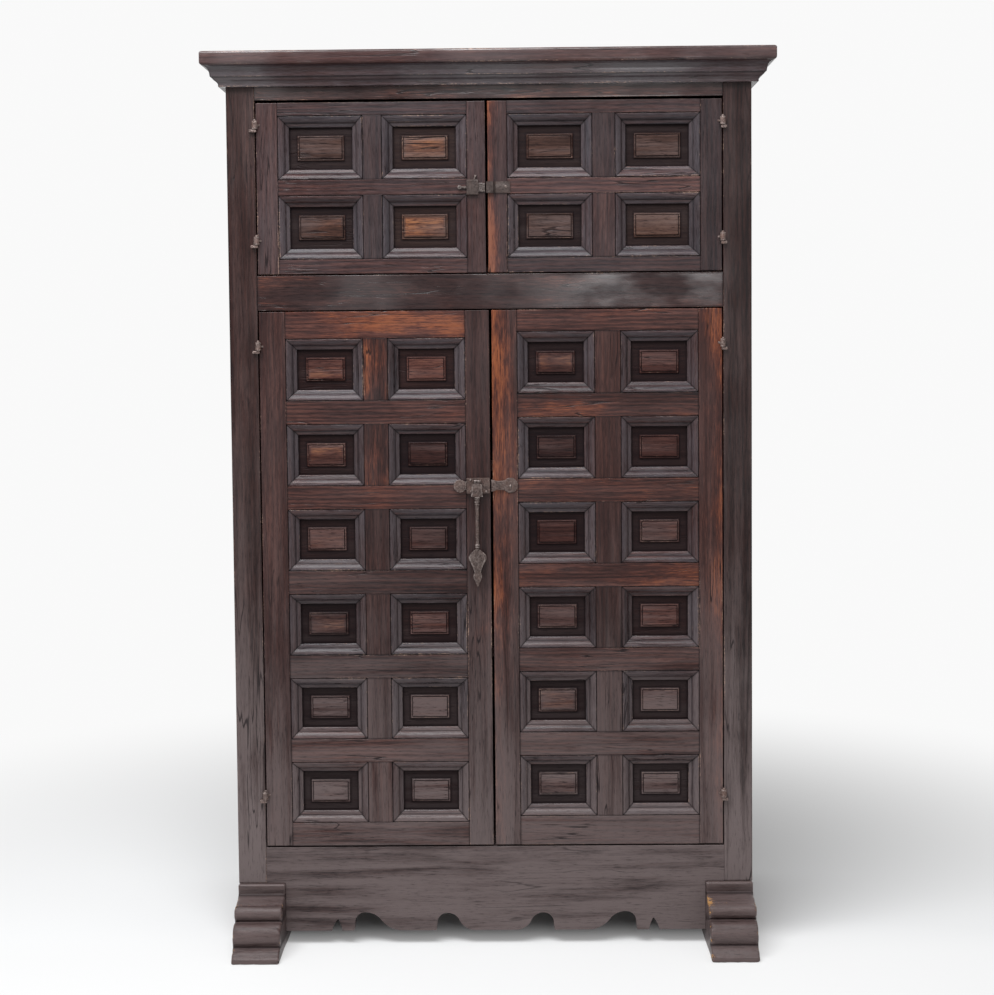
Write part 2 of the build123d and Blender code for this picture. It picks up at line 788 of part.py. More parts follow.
crown_half = half_case + crown_top_reach
crown_front_y = front_y - crown_top_reach
front_bar = extrude(Plane(origin=(-crown_half, front_y, 0), x_dir=(0, -1, 0), z_dir=(-1, 0, 0))
                    * crown_section(), -2 * crown_half)
front_wedge = extrude(Pos(0, 0, crown_bottom) * make_face(Polyline(
    (-half_case, front_y), (half_case, front_y), (crown_half, crown_front_y),
    (-crown_half, crown_front_y), close=True)), crown_height)
nodes["cornice_front"] = [front_bar & front_wedge]
side_bar = extrude(Plane(origin=(-half_case, back_y, 0), x_dir=(-1, 0, 0), z_dir=(0, 1, 0))
                   * crown_section(), -(case_depth + crown_top_reach))
side_wedge = extrude(Pos(0, 0, crown_bottom) * make_face(Polyline(
    (-half_case, front_y), (-half_case, back_y), (-crown_half, back_y),
    (-crown_half, crown_front_y), close=True)), crown_height)
both_sides("cornice", [side_bar & side_wedge])

# ------------------------------------------------------------------------- hardware
pintles = []
for base, hinges in ((upper_leaf_bottom, upper_hinges), (lower_leaf_bottom, lower_hinges)):
    for z in hinges:
        left_pintle = Pos(-bay_half + leaf_gap_side / 2, hinge_y, base + z) * pintle()
        pintles += [left_pintle, mirror(left_pintle, Plane.YZ)]
nodes["hinge_pintles"] = pintles

# upper latch: a flat bolt in a box guide, shot under a joggled keeper strap
upper_left_edge = upper_meeting_x - meeting_gap / 2
guide_right = upper_left_edge - upper_guide_setback
guide_left = guide_right - upper_guide_width
guide_half = upper_guide_height / 2
guide = block(guide_left, guide_right, front_y - bolt_pocket - upper_guide_wall, front_y,
              upper_bolt_z - guide_half, upper_bolt_z + guide_half)
guide = fillet(guide.edges().filter_by(Axis.X).group_by(Axis.Y)[0], upper_guide_wall)
nodes["upper_bolt_guide"] = [guide - bolt_tunnel(guide_left, guide_right, upper_bolt_z)]
knob_x = guide_left - upper_knob_radius - bolt_clearance - upper_bolt_throw
upper_bar = bolt_bar(guide_left, upper_left_edge - bolt_nose_back, upper_bolt_z)
bolt_face = front_y - bolt_lift - bolt_thickness
tail_half = upper_tail_height / 2
upper_tail = block(knob_x - tail_half, guide_left, bolt_face, front_y - bolt_lift,
                   upper_bolt_z - tail_half, upper_bolt_z + tail_half)
knob = hammered_rod((knob_x, bolt_face, upper_bolt_z), (0, -1, 0), upper_knob_radius,
                    upper_knob_height)
knob = chamfer(knob.edges().group_by(Axis.Y)[0], upper_knob_chamfer)
nodes["upper_bolt"] = [upper_bar + upper_tail + knob]

keeper_left = upper_left_edge + keeper_swing_room
keeper_right = keeper_left + upper_keeper_length
tunnel_end = keeper_left + upper_keeper_tunnel
strap_front = front_y - bolt_pocket - upper_keeper_wall
foot_front = front_y - upper_keeper_wall
strap_outline = Polyline(
    (keeper_left, strap_front),
    (tunnel_end, strap_front),
    (tunnel_end + bolt_pocket, foot_front),
    (keeper_right, foot_front),
    (keeper_right, front_y),
    (upper_meeting_x + meeting_gap / 2, front_y),
    (upper_meeting_x + meeting_gap / 2, front_y - bolt_lift),
    (keeper_left, front_y - bolt_lift),
    close=True)
keeper_half = bolt_channel / 2 + upper_keeper_wall
strap = extrude(Pos(0, 0, upper_bolt_z - keeper_half) * make_face(strap_outline), 2 * keeper_half)
strap -= bolt_tunnel(keeper_left, tunnel_end, upper_bolt_z)
nodes["upper_keeper"] = [strap]

# lower latch: the bolt runs under a plate on the left leaf and into a waisted keeper
lower_left_edge = lower_meeting_x - meeting_gap / 2
plate_right = lower_left_edge - bolt_nose_back
plate_left = plate_right - lower_plate_width
plate_half = lower_plate_height / 2
plate_front = front_y - bolt_pocket - lower_plate_wall
lobe_front = plate_front - latch_lobe_rise
plate = block(plate_left, plate_right, plate_front, front_y,
              lower_latch_z - plate_half, lower_latch_z + plate_half)
lobe_x = lower_meeting_x
lobe = hammered_rod((lobe_x, front_y, lower_latch_z), (0, -1, 0), latch_lobe_radius,
                    front_y - lobe_front)
beyond = latch_lobe_radius + keeper_swing_room
tall = 2 * latch_lobe_radius
left_lobe = lobe - block(plate_right, lobe_x + beyond, lobe_front - cut_margin,
                         front_y + cut_margin, lower_latch_z - tall, lower_latch_z + tall)
pivot_z = lower_latch_z + handle_pivot_rise
pivot_y = plate_front - handle_front_gap - knuckle_radius
ears = []
for side in (-1, 1):
    ear_start = handle_x + side * (knuckle_width / 2 + handle_side_gap)
    ear_x = sorted((ear_start, ear_start + side * ear_width))
    ear = block(*ear_x, pivot_y, plate_front, pivot_z - knuckle_radius, pivot_z + knuckle_radius)
    ear += rod((ear_x[0], pivot_y, pivot_z), (1, 0, 0), knuckle_radius, ear_width)
    ears.append(ear)
pin_reach = knuckle_width / 2 + handle_side_gap + ear_width
pin = rod((handle_x - pin_reach, pivot_y, pivot_z), (1, 0, 0), handle_pin_radius, 2 * pin_reach)
plate = plate + left_lobe + ears + pin
nodes["lower_latch_plate"] = [
    plate - bolt_tunnel(plate_left - cut_margin, plate_right + cut_margin, lower_latch_z)]

disc_x = plate_left - disc_stem_radius - bolt_clearance - lower_bolt_throw
disc_back = plate_front - bolt_clearance
lower_bar = bolt_bar(disc_x - disc_bar_overlap, plate_right, lower_latch_z)
stem = rod((disc_x, bolt_face, lower_latch_z), (0, -1, 0), disc_stem_radius, bolt_face - disc_back)
disc = hammered_rod((disc_x, disc_back, lower_latch_z), (0, -1, 0), disc_radius, disc_thickness)
disc = chamfer(disc.edges().group_by(Axis.Y)[0], disc_chamfer)
nodes["lower_bolt"] = [lower_bar + stem + disc]

keeper_edge = lower_left_edge + keeper_swing_room
left_of_keeper = block(lobe_x - beyond, keeper_edge, lobe_front - cut_margin,
                       front_y + cut_margin, lower_latch_z - tall, lower_latch_z + tall)
far_lobe = hammered_rod((keeper_lobe_x, front_y, lower_latch_z), (0, -1, 0), keeper_lobe_radius,
                        keeper_lobe_thickness)
far_lobe = chamfer(far_lobe.edges().group_by(Axis.Y)[0], keeper_lobe_chamfer)


def keeper_waist():
    """The waisted neck between the keeper's lobes, stepping down from the bolt to the leaf."""
    near_top = (lobe_x, lower_latch_z + keeper_waist_near)
    near_low = (lobe_x, lower_latch_z - keeper_waist_near)
    far_top = (keeper_lobe_x, lower_latch_z + keeper_waist_far)
    far_low = (keeper_lobe_x, lower_latch_z - keeper_waist_far)
    outline = make_face([bowed(near_top, far_top, -keeper_waist_sag), Line(far_top, far_low),
                         bowed(far_low, near_low, -keeper_waist_sag), Line(near_low, near_top)])
    plan = make_face(Polyline(
        (lobe_x, front_y), (lobe_x, plate_front), (keeper_waist_level, plate_front),
        (keeper_lobe_x, front_y - keeper_lobe_thickness), (keeper_lobe_x, front_y), close=True))
    across = extrude(Plane.XZ.offset(-front_y) * outline, front_y - plate_front)
    return across & extrude(Pos(0, 0, lower_latch_z - tall) * plan, 2 * tall)


right_edge = lower_meeting_x + meeting_gap / 2
over_gap = block(lobe_x - beyond, right_edge, front_y - bolt_lift, front_y + cut_margin,
                 lower_latch_z - tall, lower_latch_z + tall)
keeper = lobe - left_of_keeper + keeper_waist() + far_lobe - over_gap
keeper -= bolt_tunnel(keeper_edge - cut_margin, keeper_edge + keeper_tunnel, lower_latch_z)
nodes["lower_keeper"] = [keeper]


# drop handle: tapered head on a knuckle, a slim turned stem with two beads, and a leaf drop
def handle_head():
    """The flat head, narrowed between the ears and flared towards its foot."""
    below_ears = -knuckle_radius - handle_front_gap
    outline = make_face(Polyline(
        (-knuckle_width / 2, 0), (knuckle_width / 2, 0), (knuckle_width / 2, below_ears),
        (head_top_width / 2, below_ears), (head_bottom_width / 2, -head_length),
        (-head_bottom_width / 2, -head_length), (-head_top_width / 2, below_ears),
        (-knuckle_width / 2, below_ears), close=True))
    return extrude(Plane.XZ.offset(-knuckle_radius) * outline, head_thickness)


def handle_stem():
    """The forged stem, hanging from the origin: a flared neck and a rod between two beads."""
    def bead(level, radius):
        return [(level + bead_height / 2, radius), (level, bead_radius),
                (level - bead_height / 2, radius)]

    turnings = [
        (0, stem_neck_radius),
        *bead(-stem_neck_length, stem_top_radius),
        *bead(-stem_length + 2 * bead_height, stem_bottom_radius),
        (-stem_length, stem_bottom_radius)]
    sections = [Pos(0, 0, level) * RegularPolygon(radius, forged_flat_count)
                for level, radius in turnings]
    return loft(sections, ruled=True)


def handle_drop():
    """The flat leaf-shaped drop, hanging from the origin: shoulders, waist, lozenge, point."""
    shoulder = (drop_shoulder_half, -drop_shoulder_fall)
    outline = make_face([
        Line((0, 0), (drop_neck_half, 0)),
        bowed((drop_neck_half, 0), shoulder, drop_shoulder_bulge),
        *Polyline(shoulder, (drop_waist_half, -drop_waist_fall),
                  (drop_lozenge_half, -drop_lozenge_fall), (0, -drop_length), (0, 0)).edges()])
    half = extrude(Plane.XZ.offset(-drop_thickness / 2) * outline, drop_thickness)
    return half + mirror(half, Plane.YZ)


def drop_handle():
    """The handle hanging from its pivot at the origin, in the plane y = 0."""
    knuckle = rod((-knuckle_width / 2, 0, 0), (1, 0, 0), knuckle_radius, knuckle_width)
    middle_y = knuckle_radius - head_thickness / 2
    stem = Pos(0, middle_y, -head_length) * handle_stem()
    drop = Pos(0, middle_y, drop_inset - head_length - stem_length) * handle_drop()
    bore = rod((-knuckle_width, 0, 0), (1, 0, 0), handle_pin_radius + handle_pin_clearance,
               2 * knuckle_width)
    return knuckle + handle_head() + stem + drop - bore


nodes["drop_handle"] = [Pos(handle_x, pivot_y, pivot_z) * drop_handle()]

for leaf_name, pieces in leaves.items():
    for piece_name, solids in pieces.items():
        nodes[leaf_name + "_" + piece_name] = solids

# ------------------------------------------------------------------------ the files
os.makedirs("parts", exist_ok=True)
for name, solids in nodes.items():
    shape = solids[0] if len(solids) == 1 else Compound(children=list(solids))
    export_step(shape, "parts/" + name + ".step")
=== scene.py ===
"""Looks of a trastero: a tall cupboard of dark stained, waxed wood with forged fittings.

X runs right, -Y is the front and +Z is up, as in the CAD frame. Lengths are millimetres
until a mesh is made, which is in metres. Most members are closed surfaces worked out from
the boxes of the CAD nodes, whose points carry five values: the tone of the board (board),
how far an edge is worn (worn), how much old dirt and painted shade lies there, the shade
painted into quirks, grooves and recesses (grime), how far hands and cloths have rubbed it
(rubbed) and how much old wax bloom with a painted grey-blue sheen lies on it (bloom). The
other members are the CAD nodes themselves, some of them with softened edges.
"""

import json
import math
from collections import namedtuple
from functools import reduce

import bmesh
import bpy
import numpy as np
from mathutils import Matrix, Vector

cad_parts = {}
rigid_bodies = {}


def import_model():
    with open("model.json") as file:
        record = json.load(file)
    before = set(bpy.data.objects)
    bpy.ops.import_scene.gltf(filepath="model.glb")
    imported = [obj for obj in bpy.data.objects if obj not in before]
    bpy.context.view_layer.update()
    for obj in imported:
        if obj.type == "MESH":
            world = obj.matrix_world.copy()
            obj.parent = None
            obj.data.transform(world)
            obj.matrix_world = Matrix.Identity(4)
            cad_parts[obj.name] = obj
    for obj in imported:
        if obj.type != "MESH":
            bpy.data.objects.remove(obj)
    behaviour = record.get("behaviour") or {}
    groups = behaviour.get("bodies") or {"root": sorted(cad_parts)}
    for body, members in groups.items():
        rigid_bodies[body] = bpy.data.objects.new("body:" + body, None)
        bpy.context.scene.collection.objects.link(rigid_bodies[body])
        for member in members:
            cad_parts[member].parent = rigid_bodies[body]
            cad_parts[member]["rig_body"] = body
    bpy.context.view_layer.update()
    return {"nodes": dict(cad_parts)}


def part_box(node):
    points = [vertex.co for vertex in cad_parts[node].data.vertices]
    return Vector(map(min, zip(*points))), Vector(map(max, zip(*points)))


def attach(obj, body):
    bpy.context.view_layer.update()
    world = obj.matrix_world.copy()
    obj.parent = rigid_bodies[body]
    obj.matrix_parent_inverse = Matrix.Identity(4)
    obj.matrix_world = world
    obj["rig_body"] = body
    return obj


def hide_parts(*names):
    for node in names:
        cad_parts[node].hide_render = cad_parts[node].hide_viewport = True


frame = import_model()
mm = 0.001
leaves = ("upper_left", "upper_right", "lower_left", "lower_right")

# ---- sizes in millimetres
arris, joint_arris = 0.9, 0.45  # softened edge of a planed member, and at a tight shoulder
rim = 3.2                       # how far rubbing reaches in from an edge
ring_step = 70                  # between the rings of a long member
smooth_turn = math.radians(32)  # a sharper turn than this is left as an edge
flat_turn = math.radians(0.8)   # a smaller one is none
weld_reach = 0.02               # points nearer than this are one

# unevenness: how deep, and how long its waves are
planing_wave, planing_pitch, moulding_pitch = 0.22, 170, 90
field_wave, field_pitch = 0.10, (60, 34)
foot_wave, foot_pitch, chip_pitch = 0.6, (70, 52), 38
crown_wave, crown_pitch = 0.35, 420
slab_wave, slab_pitch = 0.7, 380

moulding_width = 23
quirk_width, quirk_depth = 1.8, 3.2
ovolo_lip, ovolo_end, ovolo_depth, ovolo_bulge = 0.9, 14.5, 8.6, 1.5
fillet_depth, sight_depth = 10.4, 13.4
mitre_gap = 0.2

# rings and lines that are spaced evenly, between those crowded at the ends
moulding_rings, field_lines, foot_rings, crown_rings = 5, 6, 10, 24

leaf_core = 29.6                # depth at which the members' fronts end, behind the panels
back_depth = 27.2               # where the square-shouldered backs of the members start
back_proud = 0.35               # how far those backs pass the mouldings behind them
hair = 0.05                     # what keeps two faces from lying in one plane
panel_ground, panel_thickness, panel_tongue = 19.6, 6.0, 7.4
raised_from, field_from = 14, 19    # where a panel's raised part and its field begin
muntin_stub = 11
leaf_rows = {"upper": 2, "lower": 6}
middle_rail = {"upper": 32, "lower": 49}

# runner foot, seen from the side: reach in front of the case and height
fascia_reach, fascia_foot = 10, 113.5
shoulder, upper_roll, groove = (48, 102), (71, 92), (63, 74)
lower_roll, crease, flare = (98, 52), (94, 29), (115, 12)
foot_reach, foot_base = 118, 9
foot_soft = 4.2                 # radius of the feet's arrises
foot_chip, chip_reach = 4.6, 13     # how deep the chips are, and how far in they run
foot_patch = (21, 15)           # bared patch of the right foot: down and across
foot_heart = (-180, 45)         # a point that sees the whole outline
foot_side = 0.96                # the flat sides' size about that point
foot_carved = 30                # reach over which the carving sets in

board_count, board_lap = 6, 0.5
board_tones = (0.35, 0.8, 0.5, 0.15, 0.65, 0.4)

# cornice, seen in section: overhang and height over the crown's lower edge
crown_lip, crown_ogee, crown_ogee_wave = (13, 5), (24.5, 19), 0.9
crown_fascia, crown_fascia_top, crown_cove_sag = (27.5, 19), (29, 30), 2.4
slab_top_round, slab_low_round, slab_step = 5, 6, 45

# ironwork
eye_height, eye_radius, eye_bore = 17.5, 6.2, 3.25
eye_lift = 6.7                  # the eye's foot over its pintle's
pintle_height, pintle_bar, pin_radius = 28, 6.4, 3.0
pintle_reach = {-1: 9, 1: 5.5}  # from the axis to the spike, left and right
hinge_stand_off = 7
keeper_socket = (8.5, 5.5, 9.3)     # how long, deep and half as high
bolt_front, bolt_back = 5.2, 0.2    # the bolts' bars stand so far before the case's face
knuckle, handle_head, handle_stem = 3.6, 33, 112    # drop handle: radius and lengths

Corner = namedtuple("Corner", "x y z")


def placed(name, data):
    """A new object in the scene."""
    made = bpy.data.objects.new(name, data)
    bpy.context.scene.collection.objects.link(made)
    return made


def box(node):
    """The low and high corner of a CAD node's box, in millimetres."""
    return [Corner(*(value / mm for value in corner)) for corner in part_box(node)]


# ---- shader building
class Value:
    """A node's output; Python's operators on it add Math nodes."""

    def __init__(self, finish, socket):
        self.finish = finish
        self.socket = socket

    def math(self, operation, first, second):
        return self.finish.node("Math", {"operation": operation}, {0: first, 1: second})

    def __add__(self, other):
        return self.math("ADD", self, other)

    def __sub__(self, other):
        return self.math("SUBTRACT", self, other)

    def __rsub__(self, other):
        return self.math("SUBTRACT", other, self)

    def __mul__(self, other):
        return self.math("MULTIPLY", self, other)

    __radd__, __rmul__ = __add__, __mul__

    def larger(self, other):
        """The larger of two values."""
        return self.math("MAXIMUM", self, other)

    def over(self, low, high):
        """0 below low and 1 above high, eased between them; high may be the smaller one."""
        return self.finish.node("MapRange", {"interpolation_type": "SMOOTHSTEP"},
                                {"Value": self, "From Min": low, "From Max": high})


class Finish:
    """The nodes of a material, or of the world, under construction."""

    def __init__(self, holder):
        self.holder = holder
        holder.use_nodes = True
        self.tree = holder.node_tree
        self.tree.nodes.clear()

    def node(self, kind, settings=None, inputs=None, output=0):
        """Adds a node: settings first, then values or links on its sockets; gives one output."""
        made = self.tree.nodes.new("ShaderNode" + kind)
        for key, value in (settings or {}).items():
            if key == "stops":
                ramp = made.color_ramp.elements
                while len(ramp) < len(value):
                    ramp.new(1.0)
                for stop, (position, colour) in zip(ramp, value):
                    stop.position = position
                    stop.color = (*colour, 1.0)
            else:
                setattr(made, key, value)
        for key, value in (inputs or {}).items():
            socket = made.inputs[key]
            if isinstance(value, Value):
                self.tree.links.new(value.socket, socket)
            elif isinstance(value, tuple) and socket.type == "RGBA":
                socket.default_value = (*value, 1.0)
            else:
                socket.default_value = value
        return Value(self, made.outputs[output])

    def place(self, scale=(1, 1, 1)):
        """The point's own coordinates, moved by its board's tone so that no two boards share
        their figure, and scaled."""
        here = self.node("TexCoord", output="Object")
        board = self.carried("board")
        aside = self.node("CombineXYZ", {}, {0: board * 7.3, 1: board * 5.1, 2: board * 9.7})
        moved = self.node("VectorMath", {"operation": "ADD"}, {0: here, 1: aside})
        return self.node("Mapping", {}, {"Vector": moved, "Scale": scale})

    def noise(self, vector, scale, detail, roughness, distortion=0.0):
        return self.node("TexNoise", {}, {
            "Vector": vector, "Scale": scale, "Detail": detail, "Roughness": roughness,
            "Distortion": distortion})

    def carried(self, name):
        """A value that the surface's points carry."""
        return self.node("Attribute", {"attribute_name": name}, output="Fac")

    def blend(self, amount, first, second):
        """Two colours mixed by an amount."""
        return self.node("Mix", {"data_type": "RGBA"}, {0: amount, 6: first, 7: second}, output=2)

    def ramp(self, value, positions, colours, strength):
        """Colours on a ramp, each multiplied by a strength."""
        return self.node("ValToRGB", {"stops": [
            (position, tuple(part * strength for part in colour))
            for position, colour in zip(positions, colours)]}, {"Fac": value})

    def bump(self, height, strength, distance):
        return self.node("Bump", {}, {"Height": height, "Strength": strength,
                                      "Distance": distance})

    def seen_by(self, *kinds):
        """1 for rays of any of these kinds."""
        rays = [self.node("LightPath", output=f"Is {kind} Ray") for kind in kinds]
        return reduce(Value.larger, rays)

    def surface(self, inputs):
        """Ends the material in a Principled surface."""
        self.end(self.node("BsdfPrincipled", {}, inputs))
        return self.holder

    def end(self, shader, kind="Material"):
        output = self.tree.nodes.new("ShaderNodeOutput" + kind)
        self.tree.links.new(shader.socket, output.inputs["Surface"])


# ---- materials
dark_stains = ((0.0060, 0.0022, 0.0024), (0.030, 0.0105, 0.0085), (0.100, 0.038, 0.028))
field_stains = ((0.0070, 0.0032, 0.0028), (0.036, 0.0175, 0.0130), (0.110, 0.062, 0.043))
stain_stops = (0.24, 0.50, 0.82)
red_to_orange = ((0.080, 0.020, 0.012), (0.205, 0.060, 0.022))
brown_to_tan = ((0.105, 0.036, 0.021), (0.260, 0.105, 0.042))
bare_edge = (0.34, 0.22, 0.165)
bare_gold = (0.40, 0.215, 0.085)
# grey-blue of old wax bloom, partly a painted sheen standing in for reflections of the white room
wax_and_sheen_grey = (0.062, 0.057, 0.066)
dust_grey = (0.125, 0.097, 0.095)
# near black: dirt in pores and checks, and painted shade where the grime value marks quirks,
# grooves and recesses
old_dirt_and_shade = (0.0042, 0.0014, 0.0022)
dust_height = (1.10, 0.05)      # metres over the floor between which the dust thickens
wax_roughness = 0.14
grain_relief, hammer_relief = 0.0012, 0.0018    # metres
iron_skin = ((0.016, 0.010, 0.009), (0.064, 0.042, 0.037), (0.168, 0.126, 0.113))
iron_stops = (0.24, 0.52, 0.80)
iron_rust = (0.075, 0.030, 0.018)
iron_bright = (0.37, 0.32, 0.30)
# darkens the keeper's bolt socket: dirt and painted shade
iron_dirt_and_shade = (0.010, 0.007, 0.006)


def waxed_wood(name, along, stain, dust=0.5, dust_above=0.3, bare=0.6, gloss=0.34, wax=0.0,
               checks=1.0, pores=0.5, wavy=0.08, rough=0.1, glint=0.19,
               edge_colour=bare_edge, stains=dark_stains, rubbed_colours=red_to_orange):
    """Dark stained wood under old wax, with its grain along one axis.

    Fibres, grain, long streaks and a waved figure are noises and bands stretched along the
    grain. Rubbed places follow the member's own rubbed value, turn from the first to the
    second rubbed colour and break up along the grain. Mouldings carry a bloom of old wax with
    a painted grey-blue sheen that stands in for reflections. Crumbs of bare edge follow the
    worn value; dirt follows the pores and thin drying checks, dirt and painted shade follow
    the grime value, and the haze of dust lies in streaks that thicken towards the floor.
    """
    wood = Finish(bpy.data.materials.new(name))

    def stretched(cross, length):
        return wood.place(tuple(length if axis == along else cross for axis in range(3)))

    fibre = wood.noise(stretched(140, 11.0), 4.0, 5.0, 0.72)
    grain = wood.noise(stretched(40, 2.2), 4.0, 5.0, 0.62, 0.6)
    streak = wood.noise(stretched(11, 0.55), 4.0, 4.0, 0.62, 0.3)
    blotch = wood.noise(stretched(6.5, 2.6), 2.0, 4.0, 0.6)
    check_line = wood.noise(stretched(17, 0.9), 3.0, 2.0, 0.45, 0.5)
    cloud = wood.noise(wood.place(), 3.4, 3.0, 0.55)
    crumb = wood.noise(wood.place(), 210.0, 4.0, 0.7)
    figure = wood.node("TexWave", {
        "wave_type": "BANDS", "bands_direction": "X" if along == upright else "Z"}, {
        "Vector": stretched(1.0, 0.11), "Scale": 34.0, "Distortion": 7.0, "Detail": 3.0,
        "Detail Scale": 1.6, "Detail Roughness": 0.6}, output="Fac")
    board, worn, grime, rubbed, bloom = map(wood.carried, traces)
    height = wood.node("SeparateXYZ", {}, {0: wood.node("TexCoord", output="Object")},
                       output="Z")

    tone = (grain * 0.34 + fibre * 0.44 + streak * 0.40 + figure * wavy + blotch * 0.26
            + board * 0.22 - 0.38 - wavy * 0.5)
    colour = wood.ramp(tone, stain_stops, stains, stain)
    rub = (rubbed * 0.66 + blotch * 1.15 + grain * 0.30 + fibre * 0.50 + streak * 0.35
           - bloom * 0.5).over(1.44, 2.26)
    rub_colour = wood.blend((rub * 0.7 + fibre * 1.0 + grain * 0.4).over(0.80, 1.40),
                            *rubbed_colours)
    colour = wood.blend(rub.over(0.0, 0.75), colour, rub_colour)
    # wax bloom, partly a painted grey-blue sheen
    colour = wood.blend(bloom * (cloud * 0.5 + fibre * 0.5).over(0.28, 0.72) * 0.85, colour,
                        wax_and_sheen_grey)
    low = height.over(*dust_height)
    haze = (cloud * 0.5 + fibre * 0.3 + streak * 1.1 + low * 0.22).over(0.80, 1.28)
    colour = wood.blend(haze * (low * 1.15 + dust_above) * dust, colour, dust_grey)
    colour = wood.blend(fibre.over(0.45, 0.33) * pores, colour, old_dirt_and_shade)
    fleck = (fibre * 0.7 + cloud * 0.7 + blotch * 0.6 + crumb * (0.8 + rough) + worn * 0.25
             + 0.05 - rough * 0.5)
    colour = wood.blend(worn.over(0, 1) * fleck.over(1.74, 2.00) * bare, colour, edge_colour)
    split = check_line.over(0.484, 0.497) * check_line.over(0.516, 0.503)
    split = split * blotch.over(0.50, 0.60) * checks
    # dirt at joints and in checks, and painted shade in quirks, grooves and recesses
    colour = wood.blend((grime * 0.95).larger(split * 0.85), colour, old_dirt_and_shade)

    relief = fibre * 0.55 + grain * 0.45 + figure * wavy - split * 1.5 + crumb * rough
    return wood.surface({
        "Base Color": colour, "Normal": wood.bump(relief, 0.55, grain_relief),
        "Roughness": (fibre * 0.24 + cloud * 0.20 + grime * 0.30 - worn * 0.12 - bloom * 0.10
                      + gloss - 0.20),
        "Specular IOR Level": glint, "Coat Roughness": wax_roughness,
        "Coat Weight": (cloud * 0.6 + blotch * 0.4).over(0.44, 0.60) * wax})


def forged(name, tone):
    """Hand-forged iron: hammer dimples, brown rust in the hollows and bright, handled edges."""
    iron = Finish(bpy.data.materials.new(name))
    here = iron.place()
    dimple = iron.node("TexVoronoi", {"feature": "SMOOTH_F1"},
                       {"Vector": here, "Scale": 105.0, "Smoothness": 0.6}, output="Distance")
    pits = iron.noise(here, 330.0, 5.0, 0.68)
    rust = (iron.noise(here, 58.0, 4.0, 0.62) + pits * 0.45).over(0.60, 0.92)
    worn, grime = iron.carried("worn"), iron.carried("grime")
    colour = iron.ramp(pits * 0.85 + dimple * 0.30, iron_stops, iron_skin, tone)
    colour = iron.blend(rust * 0.65, colour, tuple(part * tone for part in iron_rust))
    colour = iron.blend(worn * pits.over(0.40, 0.62) * 0.6, colour, iron_bright)
    # dirt and painted shade in the keeper's socket
    colour = iron.blend(grime * 0.85, colour, iron_dirt_and_shade)
    return iron.surface({
        "Base Color": colour,
        "Normal": iron.bump(dimple * 0.50 + pits * 0.50, 0.80, hammer_relief),
        "Metallic": 0.55 - rust * 0.45, "Roughness": 0.44 + rust * 0.28 - worn * 0.12})


traces = ("board", "worn", "grime", "rubbed", "bloom")
across, deep, upright = 0, 1, 2
field_look = {"bare": 0.5, "pores": 0.9, "glint": 0.11, "rubbed_colours": brown_to_tan}
stile_wood = waxed_wood("stile_wood", upright, 1.1, dust=0.55, bare=0.8)
rail_wood = waxed_wood("rail_wood", across, 1.25, bare=0.8, wavy=0.20)
muntin_wood = waxed_wood("muntin_wood", upright, 1.0)
panel_wood = waxed_wood("panel_wood", across, 1.38, dust=0.58, dust_above=0.6, **field_look)
pale_panel_wood = waxed_wood("pale_panel_wood", across, 1.5, dust=0.64, dust_above=0.9,
                             stains=field_stains, **field_look)
post_wood = waxed_wood("post_wood", upright, 0.9, dust=0.80, wax=0.15)
case_rail_wood = waxed_wood("case_rail_wood", across, 0.85, dust=0.15, gloss=0.30, wax=0.9)
apron_wood = waxed_wood("apron_wood", across, 1.5, dust=0.66, bare=0.9, checks=0.6)
side_wood = waxed_wood("side_wood", upright, 0.9, dust=0.45)
foot_wood = waxed_wood("foot_wood", across, 1.4, dust=0.48, bare=1.0, checks=0.3, rough=1.0,
                       edge_colour=bare_gold)
cornice_wood = waxed_wood("cornice_wood", across, 1.4, bare=0.85, wax=0.8, pores=0.3)
cornice_side_wood = waxed_wood("cornice_side_wood", deep, 1.3, dust=0.55, bare=0.85)
board_wood = waxed_wood("board_wood", upright, 2.6, gloss=0.62)
shelf_wood = waxed_wood("shelf_wood", across, 2.6, gloss=0.62)
iron = forged("forged_iron", 0.88)
dark_iron = forged("dark_forged_iron", 0.42)
# a lighter copy of the forged iron for the hinges: a painted highlight
lighter_highlight_iron = forged("highlight_painted_forged_iron", 1.3)
brown_iron = forged("brown_forged_iron", 0.70)


